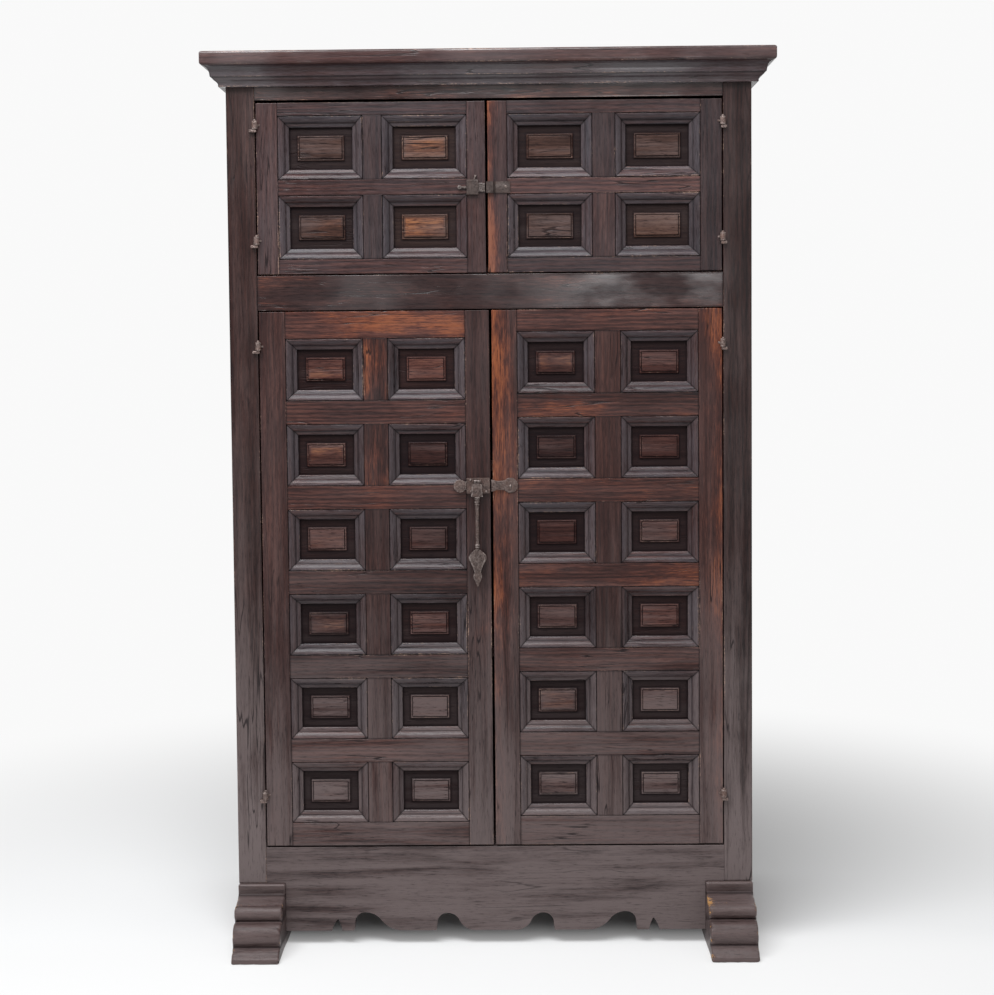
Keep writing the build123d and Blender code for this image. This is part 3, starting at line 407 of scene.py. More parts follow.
# ---- mesh building
class Shell:
    """A mesh gathered from closed tubes of points."""

    def __init__(self):
        self.points, self.faces, self.count = [], [], 0
        self.traces = {name: [] for name in traces}

    def tube(self, points, hoop=False, **values):
        """Adds rings x around x 3 points: quads join neighbouring rings, and flat caps close
        the first and last ring, or the rings close on themselves as a hoop. The faces are
        turned so that the enclosed volume is positive."""
        rings, around = points.shape[:2]
        index = np.arange(rings * around).reshape(rings, around)
        near, far = (index, np.roll(index, -1, 0)) if hoop else (index[:-1], index[1:])
        quads = np.stack([near, np.roll(near, -1, 1), np.roll(far, -1, 1), far], -1)
        quads = quads.reshape(-1, 4)
        caps = [] if hoop else [index[0][::-1], index[-1]]
        flat = points.reshape(-1, 3)
        middle = flat.mean(0)
        a, b, c, d = (flat[quads[:, k]] - middle for k in range(4))
        volume = (a * (np.cross(b, c) + np.cross(c, d))).sum()
        for cap in caps:
            ring = flat[cap] - middle
            volume += (ring[0] * np.cross(ring[1:-1], ring[2:])).sum()
        if volume < 0:
            quads = quads[:, ::-1]
            caps = [cap[::-1] for cap in caps]
        self.faces += (quads + self.count).tolist() + [(cap + self.count).tolist() for cap in caps]
        self.points.append(flat)
        for name, gathered in self.traces.items():
            gathered.append(np.broadcast_to(values.get(name, 0.0), (rings, around)).ravel())
        self.count += len(flat)

    def piece(self, name, body, material, slot, *stands_for):
        """Makes the object, in metres, and settles it."""
        mesh = bpy.data.meshes.new(name)
        mesh.from_pydata(np.concatenate(self.points) * mm, [], self.faces)
        for trace, gathered in self.traces.items():
            attribute = mesh.attributes.new(trace, "FLOAT", "POINT")
            attribute.data.foreach_set("value", np.concatenate(gathered).astype(np.float32))
        settle(placed(name, mesh), body, material, slot, *stands_for)

    def wooden(self, node, body, material, slot):
        """Makes the wooden piece that stands for one CAD node."""
        self.piece(node + "_wood", body, material, slot, node)


def settle(piece, body, material, slot, *stands_for):
    """Shades a piece smooth between its sharp edges and sets it on its body, for the CAD
    nodes it stands for."""
    mesh = piece.data
    mesh.materials.clear()
    mesh.materials.append(material)
    mesh.polygons.foreach_set("use_smooth", np.ones(len(mesh.polygons), bool))
    mesh.set_sharp_from_angle(angle=smooth_turn)
    mesh.update()
    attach(piece, body)
    if stands_for:
        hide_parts(*stands_for)


def spread(x, y, z):
    """Points from their coordinates, each of them a grid, a row or one number for all."""
    return np.stack(np.broadcast_arrays(x, y, z), -1)


def wander(along, pitch, seed):
    """An uneven line within about 1 of zero: three sines of falling pitch, seeded phases."""
    phases = np.random.default_rng(seed).uniform(0, 2 * np.pi, 3)
    waves = [np.sin(2 * np.pi * along * k / pitch + phase) / k
             for k, phase in zip((1.0, 2.3, 4.1), phases)]
    return sum(waves) / 1.68


def bowed(start, end, bulge, count):
    """Points on a shallow arc from start to end that bows to the left of its chord."""
    share = np.linspace(0, 1, count)[:, None]
    start, end = np.array(start), np.array(end)
    chord = end - start
    side = np.array([-chord[1], chord[0]]) / np.linalg.norm(chord)
    return start + share * chord + 4 * share * (1 - share) * side * bulge


def arc_through(first, second, third, count):
    """Points on the circle through three points, from the first to the third."""
    a, b, c = (complex(*point) for point in (first, second, third))
    w = (c - a) / (b - a)
    centre = a + (b - a) * (w - abs(w) ** 2) / (2j * w.imag)
    start, middle, end = (np.angle(p - centre) for p in (a, b, c))
    turn = (end - start) % (2 * np.pi)
    if (middle - start) % (2 * np.pi) > turn:
        turn -= 2 * np.pi
    angles = start + np.linspace(0, 1, count) * turn
    return (np.array([centre.real, centre.imag])
            + abs(a - centre) * np.stack([np.cos(angles), np.sin(angles)], 1))


def softened(low, high, soft):
    """A rectangle's outline with quarter-round corners, and its wear.

    Each corner gives a point one rim before it, four on its quarter circle and one after.
    """
    reach = min(rim, *(0.45 * (high - low)))
    points = []
    for turn, signs in enumerate(((1, 1), (-1, 1), (-1, -1), (1, -1))):
        centre = np.where(np.array(signs) > 0, high, low) - soft * np.array(signs)
        angles = math.pi / 2 * (turn + np.arange(4) / 3)
        arc = centre + soft * np.stack([np.cos(angles), np.sin(angles)], 1)
        before = np.array([math.sin(angles[0]), -math.cos(angles[0])])
        after = np.array([-math.sin(angles[3]), math.cos(angles[3])])
        points += [arc[0] + before * reach, *arc, arc[3] + after * reach]
    return np.array(points), np.tile([0.0, 0.8, 1.0, 1.0, 0.8, 0.0], 4)


def crowded(start, end, close, rings, *fades):
    """Rows of stations from start to end: some close to each end, then evenly spaced rings.

    Gives the stations, and for each fade a row of its values at both ends and 0 between.
    """
    close = np.array(close)[:, None]
    first, last = np.broadcast_arrays(start + close, end - close[::-1])
    share = np.linspace(0, 1, rings + 2)[1:-1, None]
    return (np.concatenate([first, first[-1] + share * (last[0] - first[-1]), last]),
            *(np.concatenate([fade, np.zeros(rings), fade[::-1]])[:, None] for fade in fades))


def plank(shell, low, high, along, board, soft=arris, joints=0.0, rubbed=0.0, fall=0.0,
          bloom=0.0):
    """A planed member: a softened rectangle carried along an axis, its faces a little wavy.

    Points = section shrunk by the end rounding, plus a planing wave across the grain. The
    rubbing may differ between the member's low and high side, and falls by a share of
    itself towards the member's start.
    """
    low, high = np.array(low, float), np.array(high, float)
    cross = [axis for axis in range(3) if axis != along]
    start, end = low[along], high[along]
    section, worn = softened(low[cross], high[cross], soft)
    stations, shrink, ends = crowded(
        start, end, (0, 0.4 * soft, soft, soft + 1.4, soft + 4),
        max(1, int((end - start) / ring_step) - 1), (soft, 0.35 * soft, 0, 0, 0),
        (1, 1, 0.8, 0.3, 0))
    out = np.sign(section - (low[cross] + high[cross]) / 2)
    points = np.empty((len(stations), len(section), 3))
    points[..., along] = stations
    for column, axis in enumerate(cross):
        wave = planing_wave * wander(stations, planing_pitch, int(board * 1e6) + axis)
        points[..., axis] = section[:, column] - out[:, column] * (shrink + np.abs(wave))
    worn = np.maximum(worn, ends * (1 - joints)) * (1 - ends * joints)
    low_side, high_side = np.broadcast_to(rubbed, 2)
    share = (section[:, 0] - low[cross[0]]) / (high[cross[0]] - low[cross[0]])
    part = (stations - start) / (end - start)
    shell.tube(points, worn=worn, grime=ends * joints, board=board, bloom=bloom,
               rubbed=(low_side + (high_side - low_side) * share) * (1 - fall * (1 - part)))


# ---- mouldings and panels
def moulding_section():
    """The moulded edge from quirk to sight edge: width from the arris, depth, wear, grime (dirt and
    painted shade).

    Quirk, softened lip, an ovolo bowed out from its chord, fillet, canted sight edge, back.
    """
    ovolo = bowed((quirk_width + 0.4, ovolo_lip), (ovolo_end, ovolo_depth), -ovolo_bulge, 9)
    # the last column, grime, darkens the quirk, the fillet and the drop to the panel: dirt and
    # painted shade
    head = [(0, quirk_depth + 1, 0, 1), (0.25, quirk_depth, 0, 1), (1.0, quirk_depth, 0, 1),
            (1.5, 1.6, 0.5, 0.5), (1.75, 1.1, 1, 0)]
    body = [(*point, wear, 0) for point, wear in zip(ovolo, (1, 0.3, 0, 0, 0, 0, 0.1, 0.3, 0.8))]
    tail = [(ovolo_end + 0.25, ovolo_depth + 0.7, 0.2, 0.6),
            (ovolo_end + 0.3, fillet_depth - 0.2, 0, 1),
            (ovolo_end + 1.2, fillet_depth + 0.3, 0, 0.5),
            (ovolo_end + 3.0, fillet_depth + 1.0, 0.1, 0),
            (moulding_width - 1.6, sight_depth - 0.6, 0.3, 0),
            (moulding_width - 0.5, sight_depth, 1, 0),
            (moulding_width, sight_depth + 0.7, 0.7, 0),
            (moulding_width, sight_depth + 3, 0, 0.2),
            (moulding_width, panel_ground - 0.4, 0, 1),
            (moulding_width, leaf_core, 0, 0), (0, leaf_core, 0, 0)]
    return np.array(head + body + tail).T


section_width, section_depth, section_worn, section_dirt_and_shade = moulding_section()


def moulding(shell, cell, side, face_y, board, rubbed):
    """One mitred length of moulding on a side of a cell (x0, x1, z0, z1).

    Along the side, a point runs between the two mitres, which close in by the section's
    width: position = -(half - w) .. (half - w). Stations crowd the mitres for their dirt.
    """
    x0, x1, z0, z1 = cell
    length = (x1 - x0) if side in ("low", "top") else (z1 - z0)
    half = length / 2 - section_width - mitre_gap
    place, ends = crowded(-half, half, (0, 0.5, 1.6, 4), moulding_rings, (1, 0.75, 0.2, 0))
    wave = planing_wave * wander(place, moulding_pitch, int(board * 1e6) + len(side))
    waved = (section_width > 2) & (section_depth <= sight_depth + 2)
    depth = section_depth + np.where(waved, wave, 0)
    middle_x, middle_z = (x0 + x1) / 2, (z0 + z1) / 2
    x, z = {"low": (middle_x + place, z0 + section_width),
            "top": (middle_x + place, z1 - section_width),
            "left": (x0 + section_width, middle_z + place),
            "right": (x1 - section_width, middle_z + place)}[side]
    # grime: dirt in the mitres, dirt and painted shade in the quirk and fillet; bloom: old wax
    # bloom with a painted sheen on the moulded face
    shell.tube(spread(x, face_y + depth, z), worn=section_worn * (1 - ends), board=board,
               grime=np.maximum(section_dirt_and_shade, ends), rubbed=rubbed * 0.3,
               bloom=(section_depth < panel_ground) * 1.0)


# panel profile: distance in from the sight edge, height over the ground, wear, grime (dirt, and
# shade painted on the sunk ground and in the quirk)
panel_steps = np.array([
    (-panel_tongue, 0.0, 0, 1.0), (0.0, 0.0, 0, 1.0), (1.2, 0.0, 0, 1.0), (5.0, 0.0, 0, 0.88),
    (12.0, 0.05, 0, 0.86), (15.8, 0.0, 0, 0.95), (17.0, 0.0, 0, 1.0), (17.4, 0.3, 0, 0.95),
    (19.2, 2.9, 0.2, 0.25), (19.8, 3.25, 1, 0), (20.6, 3.3, 0.9, 0), (21.3, 3.1, 0.1, 0.5),
    (21.8, 2.5, 0, 1), (22.4, 2.6, 0, 1), (22.8, 4.6, 0.2, 0.3), (23.4, 5.4, 1, 0),
    (24.4, 5.6, 0.45, 0), (28.0, 5.65, 0.15, 0)]).T


def fielded_panel(shell, cell, face_y, board, seed, rubbed):
    """A raised and fielded panel as a height over its ground.

    The grid's lines lie at the profile's steps in from each side, and the height at a
    point is the profile at its distance from the nearest side, so the steps mitre. Each
    row of the grid runs down to the flat back and returns along it, so that the rows are
    rings of one tube.
    """
    steps, heights, worn_steps, dirt_and_shade_steps = panel_steps
    shift = np.random.default_rng(seed).uniform(-1.0, 1.0, 4)
    inset_line = np.concatenate([steps, np.full(field_lines, steps[-1]), steps[::-1]])

    def lines(low, high, low_shift, high_shift):
        raised = steps > raised_from
        near = low + moulding_width + steps + raised * low_shift
        far = high - moulding_width - steps - raised * high_shift
        field = np.linspace(near[-1], far[-1], field_lines + 2)[1:-1]
        return np.concatenate([near, field, far[::-1]])

    inset = np.minimum(inset_line[None, :], inset_line[:, None])
    x, z = np.meshgrid(lines(*cell[:2], *shift[:2]), lines(*cell[2:], *shift[2:]))
    lumps = field_wave * (inset > 0) * (wander(x, field_pitch[0], seed)
                                        + wander(z, field_pitch[1], seed + 1))
    front = spread(x, face_y + panel_ground - np.interp(inset, steps, heights) + lumps, z)
    behind = front[:, ::-1].copy()
    behind[..., 1] = face_y + panel_ground + panel_thickness
    nil = np.zeros(inset.shape)
    # grime darkens the sunk ground round the field and its quirk: dirt and painted shade
    worn, grime, field = (np.concatenate([values, nil], 1) for values in (
        np.interp(inset, steps, worn_steps), np.interp(inset, steps, dirt_and_shade_steps),
        rubbed * np.clip((inset - field_from) / 8, 0, 1)))
    shell.tube(np.concatenate([front, behind], 1), worn=worn, grime=grime, board=board,
               rubbed=field)


# ---- the leaves
def leaf_layout(leaf):
    """The leaf's limits from the frame's boxes: the names of its two stiles from the left,
    the left stile's, muntin's and right stile's width, the leaf's depth and height, and the
    rows of cells from the top."""
    level, hand = leaf.split("_")
    names = ("hinge_stile", "meeting_stile")[::1 if hand == "left" else -1]
    (left_low, left_high), (right_low, right_high), (muntin_low, muntin_high) = (
        box(f"{leaf}_{name}") for name in (*names, "muntins"))
    rows, rail = leaf_rows[level], middle_rail[level]
    top, bottom = muntin_high.z - muntin_stub, muntin_low.z + muntin_stub
    cell = (top - bottom - (rows - 1) * rail) / rows
    tops = [top - row * (cell + rail) for row in range(rows)]
    return (names, (left_low.x, left_high.x - moulding_width),
            (muntin_low.x + moulding_width, muntin_high.x - moulding_width),
            (right_low.x + moulding_width, right_high.x), (left_low.y, left_high.y),
            (left_low.z, left_high.z), [(top - cell, top) for top in tops])


# how far hands and cloths have rubbed each member, from 0 up: rails from the top, both
# stiles from left to right with their left and right edges, muntins and panels from the top;
# the fall is how much less the stiles are rubbed at their foot, the bloom is that of old
# wax with a painted grey-blue sheen, and the tones are the two stiles' own, from dark to pale
rubbing = {
    "upper_left": {
        "fall": 0.0, "bloom": 0.45, "stiles": ((0.5, 0.2), (0.1, 0.3)), "tones": (0.62, 0.60),
        "rails": (0.25, 0.3, 0.25), "muntins": (0.2, 0.3), "panels": (0.55, 0.8, 0.65, 1.0)},
    "upper_right": {
        "fall": 0.0, "bloom": 0.35, "stiles": ((1.6, 0.6), (0.4, 0.3)), "tones": (0.45, 0.05),
        "rails": (0.2, 0.2, 0.3), "muntins": (0.6, 0.3), "panels": (0.3, 0.4, 0.5, 0.4)},
    "lower_left": {
        "fall": 0.5, "bloom": 0.1, "stiles": ((0.55, 0.75), (0.3, 0.85)), "tones": (0.66, 0.28),
        "rails": (0.95, 0.6, 0.7, 0.5, 0.3, 0.4, 0.6), "muntins": (0.75, 0.95, 0.6, 0.3, 0.2, 0.2),
        "panels": (0.62, 0.6, 0.85, 0.4, 0.7, 0.5, 0.8, 0.5, 0.6, 0.5, 0.6, 0.4)},
    "lower_right": {
        "fall": 0.30, "bloom": 0.05, "stiles": ((1.40, 0.85), (0.6, 1.2)), "tones": (0.60, 0.74),
        "rails": (0.7, 0.65, 0.8, 1.0, 0.5, 0.45, 0.6), "muntins": (0.2, 0.5, 0.55, 0.3, 0.3, 0.2),
        "panels": (0.9, 0.3, 0.5, 0.3, 0.5, 0.5, 0.5, 0.4, 0.8, 0.5, 0.6, 0.5)}}
back_rubbed = 0.4               # how far the backs are rubbed, as a share of the fronts


def dress_leaf(leaf, seed):
    """All the members of one leaf, each with its own board tone and rubbing.

    In front their mouldings meet in mitres; behind the panels each member has a thin back
    that runs to its sight edges and butts with square shoulders.
    """
    names, left, muntin, right, (face, back), (foot, head), rows = leaf_layout(leaf)
    # the leaf's bloom is old wax bloom with a painted grey-blue sheen, heavier on the upper leaves
    wear, body = rubbing[leaf], leaf + "_leaf"
    chance = np.random.default_rng(seed)
    columns = ((left[1], muntin[0]), (muntin[1], right[0]))
    sight = moulding_width + back_proud
    shoulders = {"soft": joint_arris, "joints": 1.0}

    def member(shell, front, behind, along, tone, rubbed, look, **front_look):
        """A member's front and its back, each over x0, x1, z0, z1."""
        for (x0, x1, z0, z1), near, far, share, more in (
                (front, face, face + leaf_core, 1.0, front_look),
                (behind, face + back_depth, back, back_rubbed, {})):
            plank(shell, (x0, near, z0), (x1, far, z1), along, tone,
                  rubbed=np.array(rubbed) * share, **look, **more)

    for column, (name, side, limits, behind) in enumerate(zip(
            names, ("left", "right"), (left, right),
            ((left[0] + hair, left[1] + sight), (right[0] - sight, right[1] - hair)))):
        rubbed, tone = wear["stiles"][column], wear["tones"][column]
        stile = Shell()
        member(stile, (*limits, foot, head), (*behind, foot + hair, head - hair),
               upright, tone, rubbed, {}, fall=wear["fall"], bloom=wear["bloom"])
        for z0, z1 in rows:
            moulding(stile, (*columns[column], z0, z1), side, face, tone, rubbed[1 - column])
        stile.wooden(f"{leaf}_{name}", body, stile_wood, "leaf_wood")

    rails = Shell()
    levels = [head] + [z for row in rows for z in row[::-1]] + [foot]
    for index, rubbed in enumerate(wear["rails"]):
        tone = chance.uniform(0.1, 0.95)
        high, low = levels[2 * index], levels[2 * index + 1]
        first, last = index == 0, index == len(rows)
        member(rails, (left[1], right[0], low, high),
               (left[1] + sight, right[0] - sight, low + hair if last else low - sight,
                high - hair if first else high + sight),
               across, tone, rubbed, shoulders, bloom=wear["bloom"])
        for x0, x1 in columns:
            if not first:
                moulding(rails, (x0, x1, *rows[index - 1]), "low", face, tone, rubbed)
            if not last:
                moulding(rails, (x0, x1, *rows[index]), "top", face, tone, rubbed)
    rails.wooden(leaf + "_rails", body, rail_wood, "leaf_wood")

    muntins, panels = Shell(), Shell()
    for index, (z0, z1) in enumerate(rows):
        tone, rubbed = chance.uniform(0.1, 0.95), wear["muntins"][index]
        member(muntins, (*muntin, z0, z1),
               (muntin[0] - sight, muntin[1] + sight, z0 + sight, z1 - sight),
               upright, tone, rubbed, shoulders, bloom=wear["bloom"])
        for (x0, x1), side in zip(columns, ("right", "left")):
            moulding(muntins, (x0, x1, z0, z1), side, face, tone, rubbed)
        for column, (x0, x1) in enumerate(columns):
            number = index * 2 + column
            fielded_panel(panels, (x0, x1, z0, z1), face, chance.uniform(0.1, 1.0),
                          seed * 100 + number, wear["panels"][number])
    muntins.wooden(leaf + "_muntins", body, muntin_wood, "leaf_wood")
    panels.wooden(leaf + "_panels", body,
                  pale_panel_wood if leaf.startswith("upper") else panel_wood, "panel_wood")


for number, leaf_name in enumerate(leaves):
    dress_leaf(leaf_name, 11 + number)


# ---- the case
post_low, post_high = box("front_post_left")
foot_high = box("foot_left")[1]
case_front, bay_left, case_top = post_low.y, post_high.x, post_high.z


def case_plank(node, low, high, along, board, material, **look):
    """One member of the case."""
    shell = Shell()
    plank(shell, low, high, along, board, **look)
    shell.wooden(node, "case", material, "case_wood")


def posts_and_rails():
    """The four posts, standing on the feet, and the mid and head rail between the front two."""
    for place in ("front", "rear"):
        for hand, tone in (("left", 0.35), ("right", 0.05)):
            node = f"{place}_post_{hand}"
            low, high = box(node)
            case_plank(node, (low.x, low.y, foot_high.z), high, upright, tone, post_wood,
                       soft=1.6, rubbed=0.2)
    for node, tone in (("mid_rail", 0.35), ("head_rail", 0.5)):
        low, high = box(node)
        # the rails' bloom is old wax bloom with a painted sheen
        case_plank(node, (bay_left, low.y, low.z), (-bay_left, high.y, high.z), across, tone,
                   case_rail_wood, joints=1.0, rubbed=0.75, bloom=0.2)


def back_boards():
    """Six upright boards side by side, each lapped a little into the next."""
    low, high = box("back_boards")
    edges = np.linspace(low.x, high.x, board_count + 1)
    shell = Shell()
    for seed, (start, end) in enumerate(zip(edges, edges[1:])):
        plank(shell, (start - board_lap * (seed > 0), low.y, low.z),
              (end + board_lap * (seed < board_count - 1), high.y, high.z),
              upright, board_tones[seed], 1.6)
    shell.wooden("back_boards", "case", board_wood, "board_wood")


def softened_copy(node, material, slot, soft):
    """A copy of a CAD node with its loose triangles merged and its edges rounded."""
    source = frame["nodes"][node]
    mesh = source.data.copy()
    weld = bmesh.new()
    weld.from_mesh(mesh)
    bmesh.ops.remove_doubles(weld, verts=weld.verts, dist=weld_reach * mm)
    bmesh.ops.dissolve_limit(weld, angle_limit=flat_turn, verts=weld.verts, edges=weld.edges)
    weld.to_mesh(mesh)
    weld.free()
    piece = placed(node + "_softened", mesh)
    settle(piece, source["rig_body"], material, slot, node)
    rounding = piece.modifiers.new("softened", "BEVEL")
    rounding.width = soft * mm
    rounding.segments = 2
    rounding.limit_method = "ANGLE"
    rounding.angle_limit = smooth_turn
    rounding.harden_normals = True


def foot_outline():
    """Side outline of a runner foot as (reach, height), from the top front round to the tail."""
    tail, top = case_front - foot_high.y, foot_high.z
    nose = [(fascia_reach - 3, top), (fascia_reach, top - 3), (fascia_reach, fascia_foot + 2),
            (fascia_reach + 1.5, fascia_foot)]
    rolls = [bowed((fascia_reach + 3, fascia_foot - 0.6), shoulder, 0.8, 6),
             arc_through(shoulder, upper_roll, groove, 16)[1:],
             arc_through(groove, lower_roll, crease, 18)[1:], bowed(crease, flare, 2.5, 8)[1:]]
    base = [(foot_reach - 0.6, foot_base + 1.2), (foot_reach, foot_base - 1), (foot_reach, 2),
            (foot_reach - 2, 0)]
    under = [(reach, 0) for reach in np.linspace(foot_reach - 40, tail + 3, 12)]
    back = [(tail, 3), (tail, top / 2), (tail, top - 3), (tail + 3, top)]
    over = [(reach, top) for reach in np.linspace(tail + 40, fascia_reach - 40, 10)]
    return np.concatenate([nose, *rolls, base + under + back + over])


def feet():
    """Runner feet: the side outline carried across the width, its arrises rounded and chipped.

    A ring at t across the width is drawn in towards the outline's inside by a quarter-round
    and, near the nose, by seeded chips that fade away from the arris. The first and last
    ring are shrunk about the foot's heart, where the flat sides are no longer worn.
    """
    outline = foot_outline()
    ahead = np.roll(outline, -1, 0) - np.roll(outline, 1, 0)
    outward = np.stack([-ahead[:, 1], ahead[:, 0]], 1)
    outward /= np.linalg.norm(ahead, axis=1)[:, None]
    area = np.sum(outline[:, 0] * np.roll(outline[:, 1], -1)
                  - np.roll(outline[:, 0], -1) * outline[:, 1])
    outward *= -np.sign(area)
    run_length = np.cumsum(np.linalg.norm(ahead, axis=1)) / 2
    nose = np.clip(outline[:, 0] / foot_carved, 0, 1)

    def close_to(spot, reach):
        """1 at a spot of the outline, fading over a reach."""
        return np.exp(-((outline - np.array(spot)) ** 2).sum(1) / reach ** 2)

    # painted shade with some dirt in the groove, the crease and under the fascia
    grime = np.clip(sum(close_to(spot, 3.2) for spot in (
        groove, crease, (fascia_reach + 2, fascia_foot))), 0, 1)
    # the feet's seeds, how far the chips bare the wood inside and outside, and the patch
    for hand, seed, bared, patch in (("left", 5, (0.9, 0.5), 0), ("right", 8, (1.7, 0.9), 1.5)):
        low, high = box("foot_" + hand)
        width = high.x - low.x
        edge = np.array([0, 0, 0.12, 0.35, 0.65, 1.0, 1.7, 3.0]) * foot_soft
        place = crowded(0, width, edge, foot_rings)[0]
        nearest = np.minimum(place, width - place)
        rounding = foot_soft * (1 - np.sqrt(1 - np.clip(1 - nearest / foot_soft, 0, 1) ** 2))
        left_side = place < width / 2
        chips = [np.clip(wander(run_length, chip_pitch, seed + k) * 1.7 - 0.40, 0, 1)
                 for k in (0, 20)]
        chip = np.where(left_side, *chips) * nose
        chip = chip * np.clip(1 - nearest / chip_reach, 0, 1) ** 1.5
        lumps = foot_wave * nose * (wander(place + run_length, foot_pitch[0], seed + 3)
                                    + wander(place - run_length, foot_pitch[1], seed))
        inward = rounding * (0.35 + 0.65 * nose) + foot_chip * chip + np.abs(lumps)
        side_view = outline - outward * inward[..., None]
        side_view[[0, -1]] = foot_heart + (side_view[[0, -1]] - foot_heart) * foot_side
        reach, height = side_view[..., 0], side_view[..., 1]
        edge_worn = np.clip(1 - nearest / 6, 0, 1) * (0.4 + 0.6 * nose)
        worn = (0.7 * edge_worn + 0.6 * close_to(shoulder, 7) + np.where(left_side, *bared) * chip
                + patch * close_to(shoulder, foot_patch[0]) * np.exp(-(place / foot_patch[1]) ** 2))
        worn[[0, -1]] = 0
        shell = Shell()
        shell.tube(spread(low.x + place, case_front - reach, np.clip(height, 0, high.z)),
                   worn=worn * (1 - grime), grime=grime * 0.8, board=0.4)
        shell.wooden("foot_" + hand, "case", foot_wood, "foot_wood")


def crown_outline():
    """Section of the crown moulding: overhang, height over its foot, wear and grime (dirt, and
    shade painted into the creases).
    """
    low = box("cornice_front")[0]
    reach, top, soft = case_front - low.y, case_top - low.z, 0.7
    (lip, lip_top), (fascia, fascia_low) = crown_lip, crown_fascia
    fascia_end, fascia_high = crown_fascia_top
    middle = np.add(crown_lip, crown_ogee) / 2
    parts = [
        ([(0, 0), (4, 0), (lip - 2.5, 0), (lip - soft, 0), (lip, soft), (lip, lip_top - soft)],
         (0, 0, 0, 0.8, 1, 0.4), 0),
        (bowed(crown_lip, middle, crown_ogee_wave, 6), 0, 0),
        (bowed(middle, crown_ogee, -crown_ogee_wave, 6)[1:], 0, (0, 0, 0, 0.2, 0.8)),
        ([(fascia - soft, fascia_low), (fascia, fascia_low + soft),
          (fascia + 0.3, fascia_low + 2.5), (fascia_end - 0.3, fascia_high - 2.5),
          crown_fascia_top], (0.9, 1, 0, 0, 0.3), (0, 0, 0, 0, 0.2)),
        (bowed(crown_fascia_top, (reach, top), crown_cove_sag, 9)[1:], 0,
         (0, 0, 0, 0, 0, 0, 0.2, 0.8)),
        ([(0, top)], 0, 0)]
    return np.concatenate([
        np.column_stack([part, *(np.broadcast_to(value, len(part)) for value in (worn, grime))])
        for part, worn, grime in parts]).T


def crown():
    """The crown in three mitred lengths: every point of the section starts on the mitre,
    where its overhang is the same to the front and to the side."""
    over, rise, worn, grime = crown_outline()
    foot_z = box("cornice_front")[0].z
    left, back = post_low.x, box("cornice_left")[1].y
    crowding = (0, 0.6, 1.8, 5), crown_rings, (1, 0.8, 0.2, 0)
    front_x, ends = crowded(left - over + mitre_gap, over - left - mitre_gap, *crowding)
    side_y = crowded(case_front - over + mitre_gap, back, *crowding)[0]
    for name, x, y, seed, material in (
            ("cornice_front", front_x, case_front - over, 3, cornice_wood),
            ("cornice_left", left - over, side_y, 6, cornice_side_wood),
            ("cornice_right", over - left, side_y, 4, cornice_side_wood)):
        sag = crown_wave * wander(x + y, crown_pitch, seed)
        sag = sag * (rise > 1) * (rise < rise.max() - 1)
        shell = Shell()
        # grime: dirt in the mitres and painted shade in the creases; bloom: old wax bloom with a
        # painted grey-blue sheen
        shell.tube(spread(x, y, foot_z + rise + sag), worn=worn * (1 - ends), board=0.5,
                   grime=np.maximum(grime, ends * 0.8), bloom=1.1)
        shell.wooden(name, "case", material, "cornice_wood")


def slab():
    """The thick top board: its plan stacked up in rings, each narrowed about the middle and
    shortened from the back so that a quarter-round runs below and above."""
    low, high = box("cornice_slab")
    fronts = np.arange(low.x + 6, high.x - 5, slab_step)
    sides = np.arange(low.y + 6, high.y - 5, slab_step)
    plan = np.array([
        *((x, low.y) for x in fronts), (high.x - 1.5, low.y), (high.x, low.y + 1.5),
        *((high.x, y) for y in sides), (high.x, high.y),
        *((x, high.y) for x in fronts[::-1]), (low.x, high.y),
        *((low.x, y) for y in sides[::-1]), (low.x, low.y + 1.5), (low.x + 1.5, low.y)])
    thick = high.z - low.z
    quarter = np.linspace(0, math.pi / 2, 6)
    rows = [(0.0, slab_low_round + 6, 0.0)]
    rows += [(slab_low_round * (1 - math.cos(a)), slab_low_round * (1 - math.sin(a)),
              math.sin(2 * a) * 0.9) for a in quarter]
    rows += [(rise, 0.0, 0.0) for rise in
             np.linspace(slab_low_round, thick - slab_top_round, 5)[1:-1]]
    rows += [(thick - slab_top_round * (1 - math.sin(a)), slab_top_round * (1 - math.cos(a)),
              math.sin(2 * a)) for a in quarter]
    rows += [(thick, slab_top_round + 6, 0.0)]
    rise, draw, worn = np.array(rows).T[..., None]
    wave = slab_wave * np.abs(wander(plan.sum(1), slab_pitch, 21))
    centre = np.array([(low.x + high.x) / 2, high.y])
    reach = np.array([(high.x - low.x) / 2, high.y - low.y])
    moved = centre + (plan - centre) * (1 - (draw + wave)[..., None] / reach)
    shell = Shell()
    # bloom: old wax bloom with a painted sheen
    shell.tube(spread(moved[..., 0], moved[..., 1], low.z + rise), worn=worn, board=0.62,
               rubbed=0.5, bloom=0.35)
    shell.wooden("cornice_slab", "case", cornice_wood, "cornice_wood")


posts_and_rails()
back_boards()
feet()
crown()
slab()
softened_copy("apron", apron_wood, "case_wood", 1.1)
for hand in ("left", "right"):
    softened_copy("side_rails_" + hand, side_wood, "case_wood", 0.9)

for material, plain_boards in (
        (side_wood, ("side_panels_left", "side_panels_right")),
        (shelf_wood, ("rear_rails", "bottom_board", "divider_shelf", "lower_shelf_1",
                      "lower_shelf_2", "shelf_cleats"))):
    for node in plain_boards:
        data = frame["nodes"][node].data
        data.materials.clear()
        data.materials.append(material)


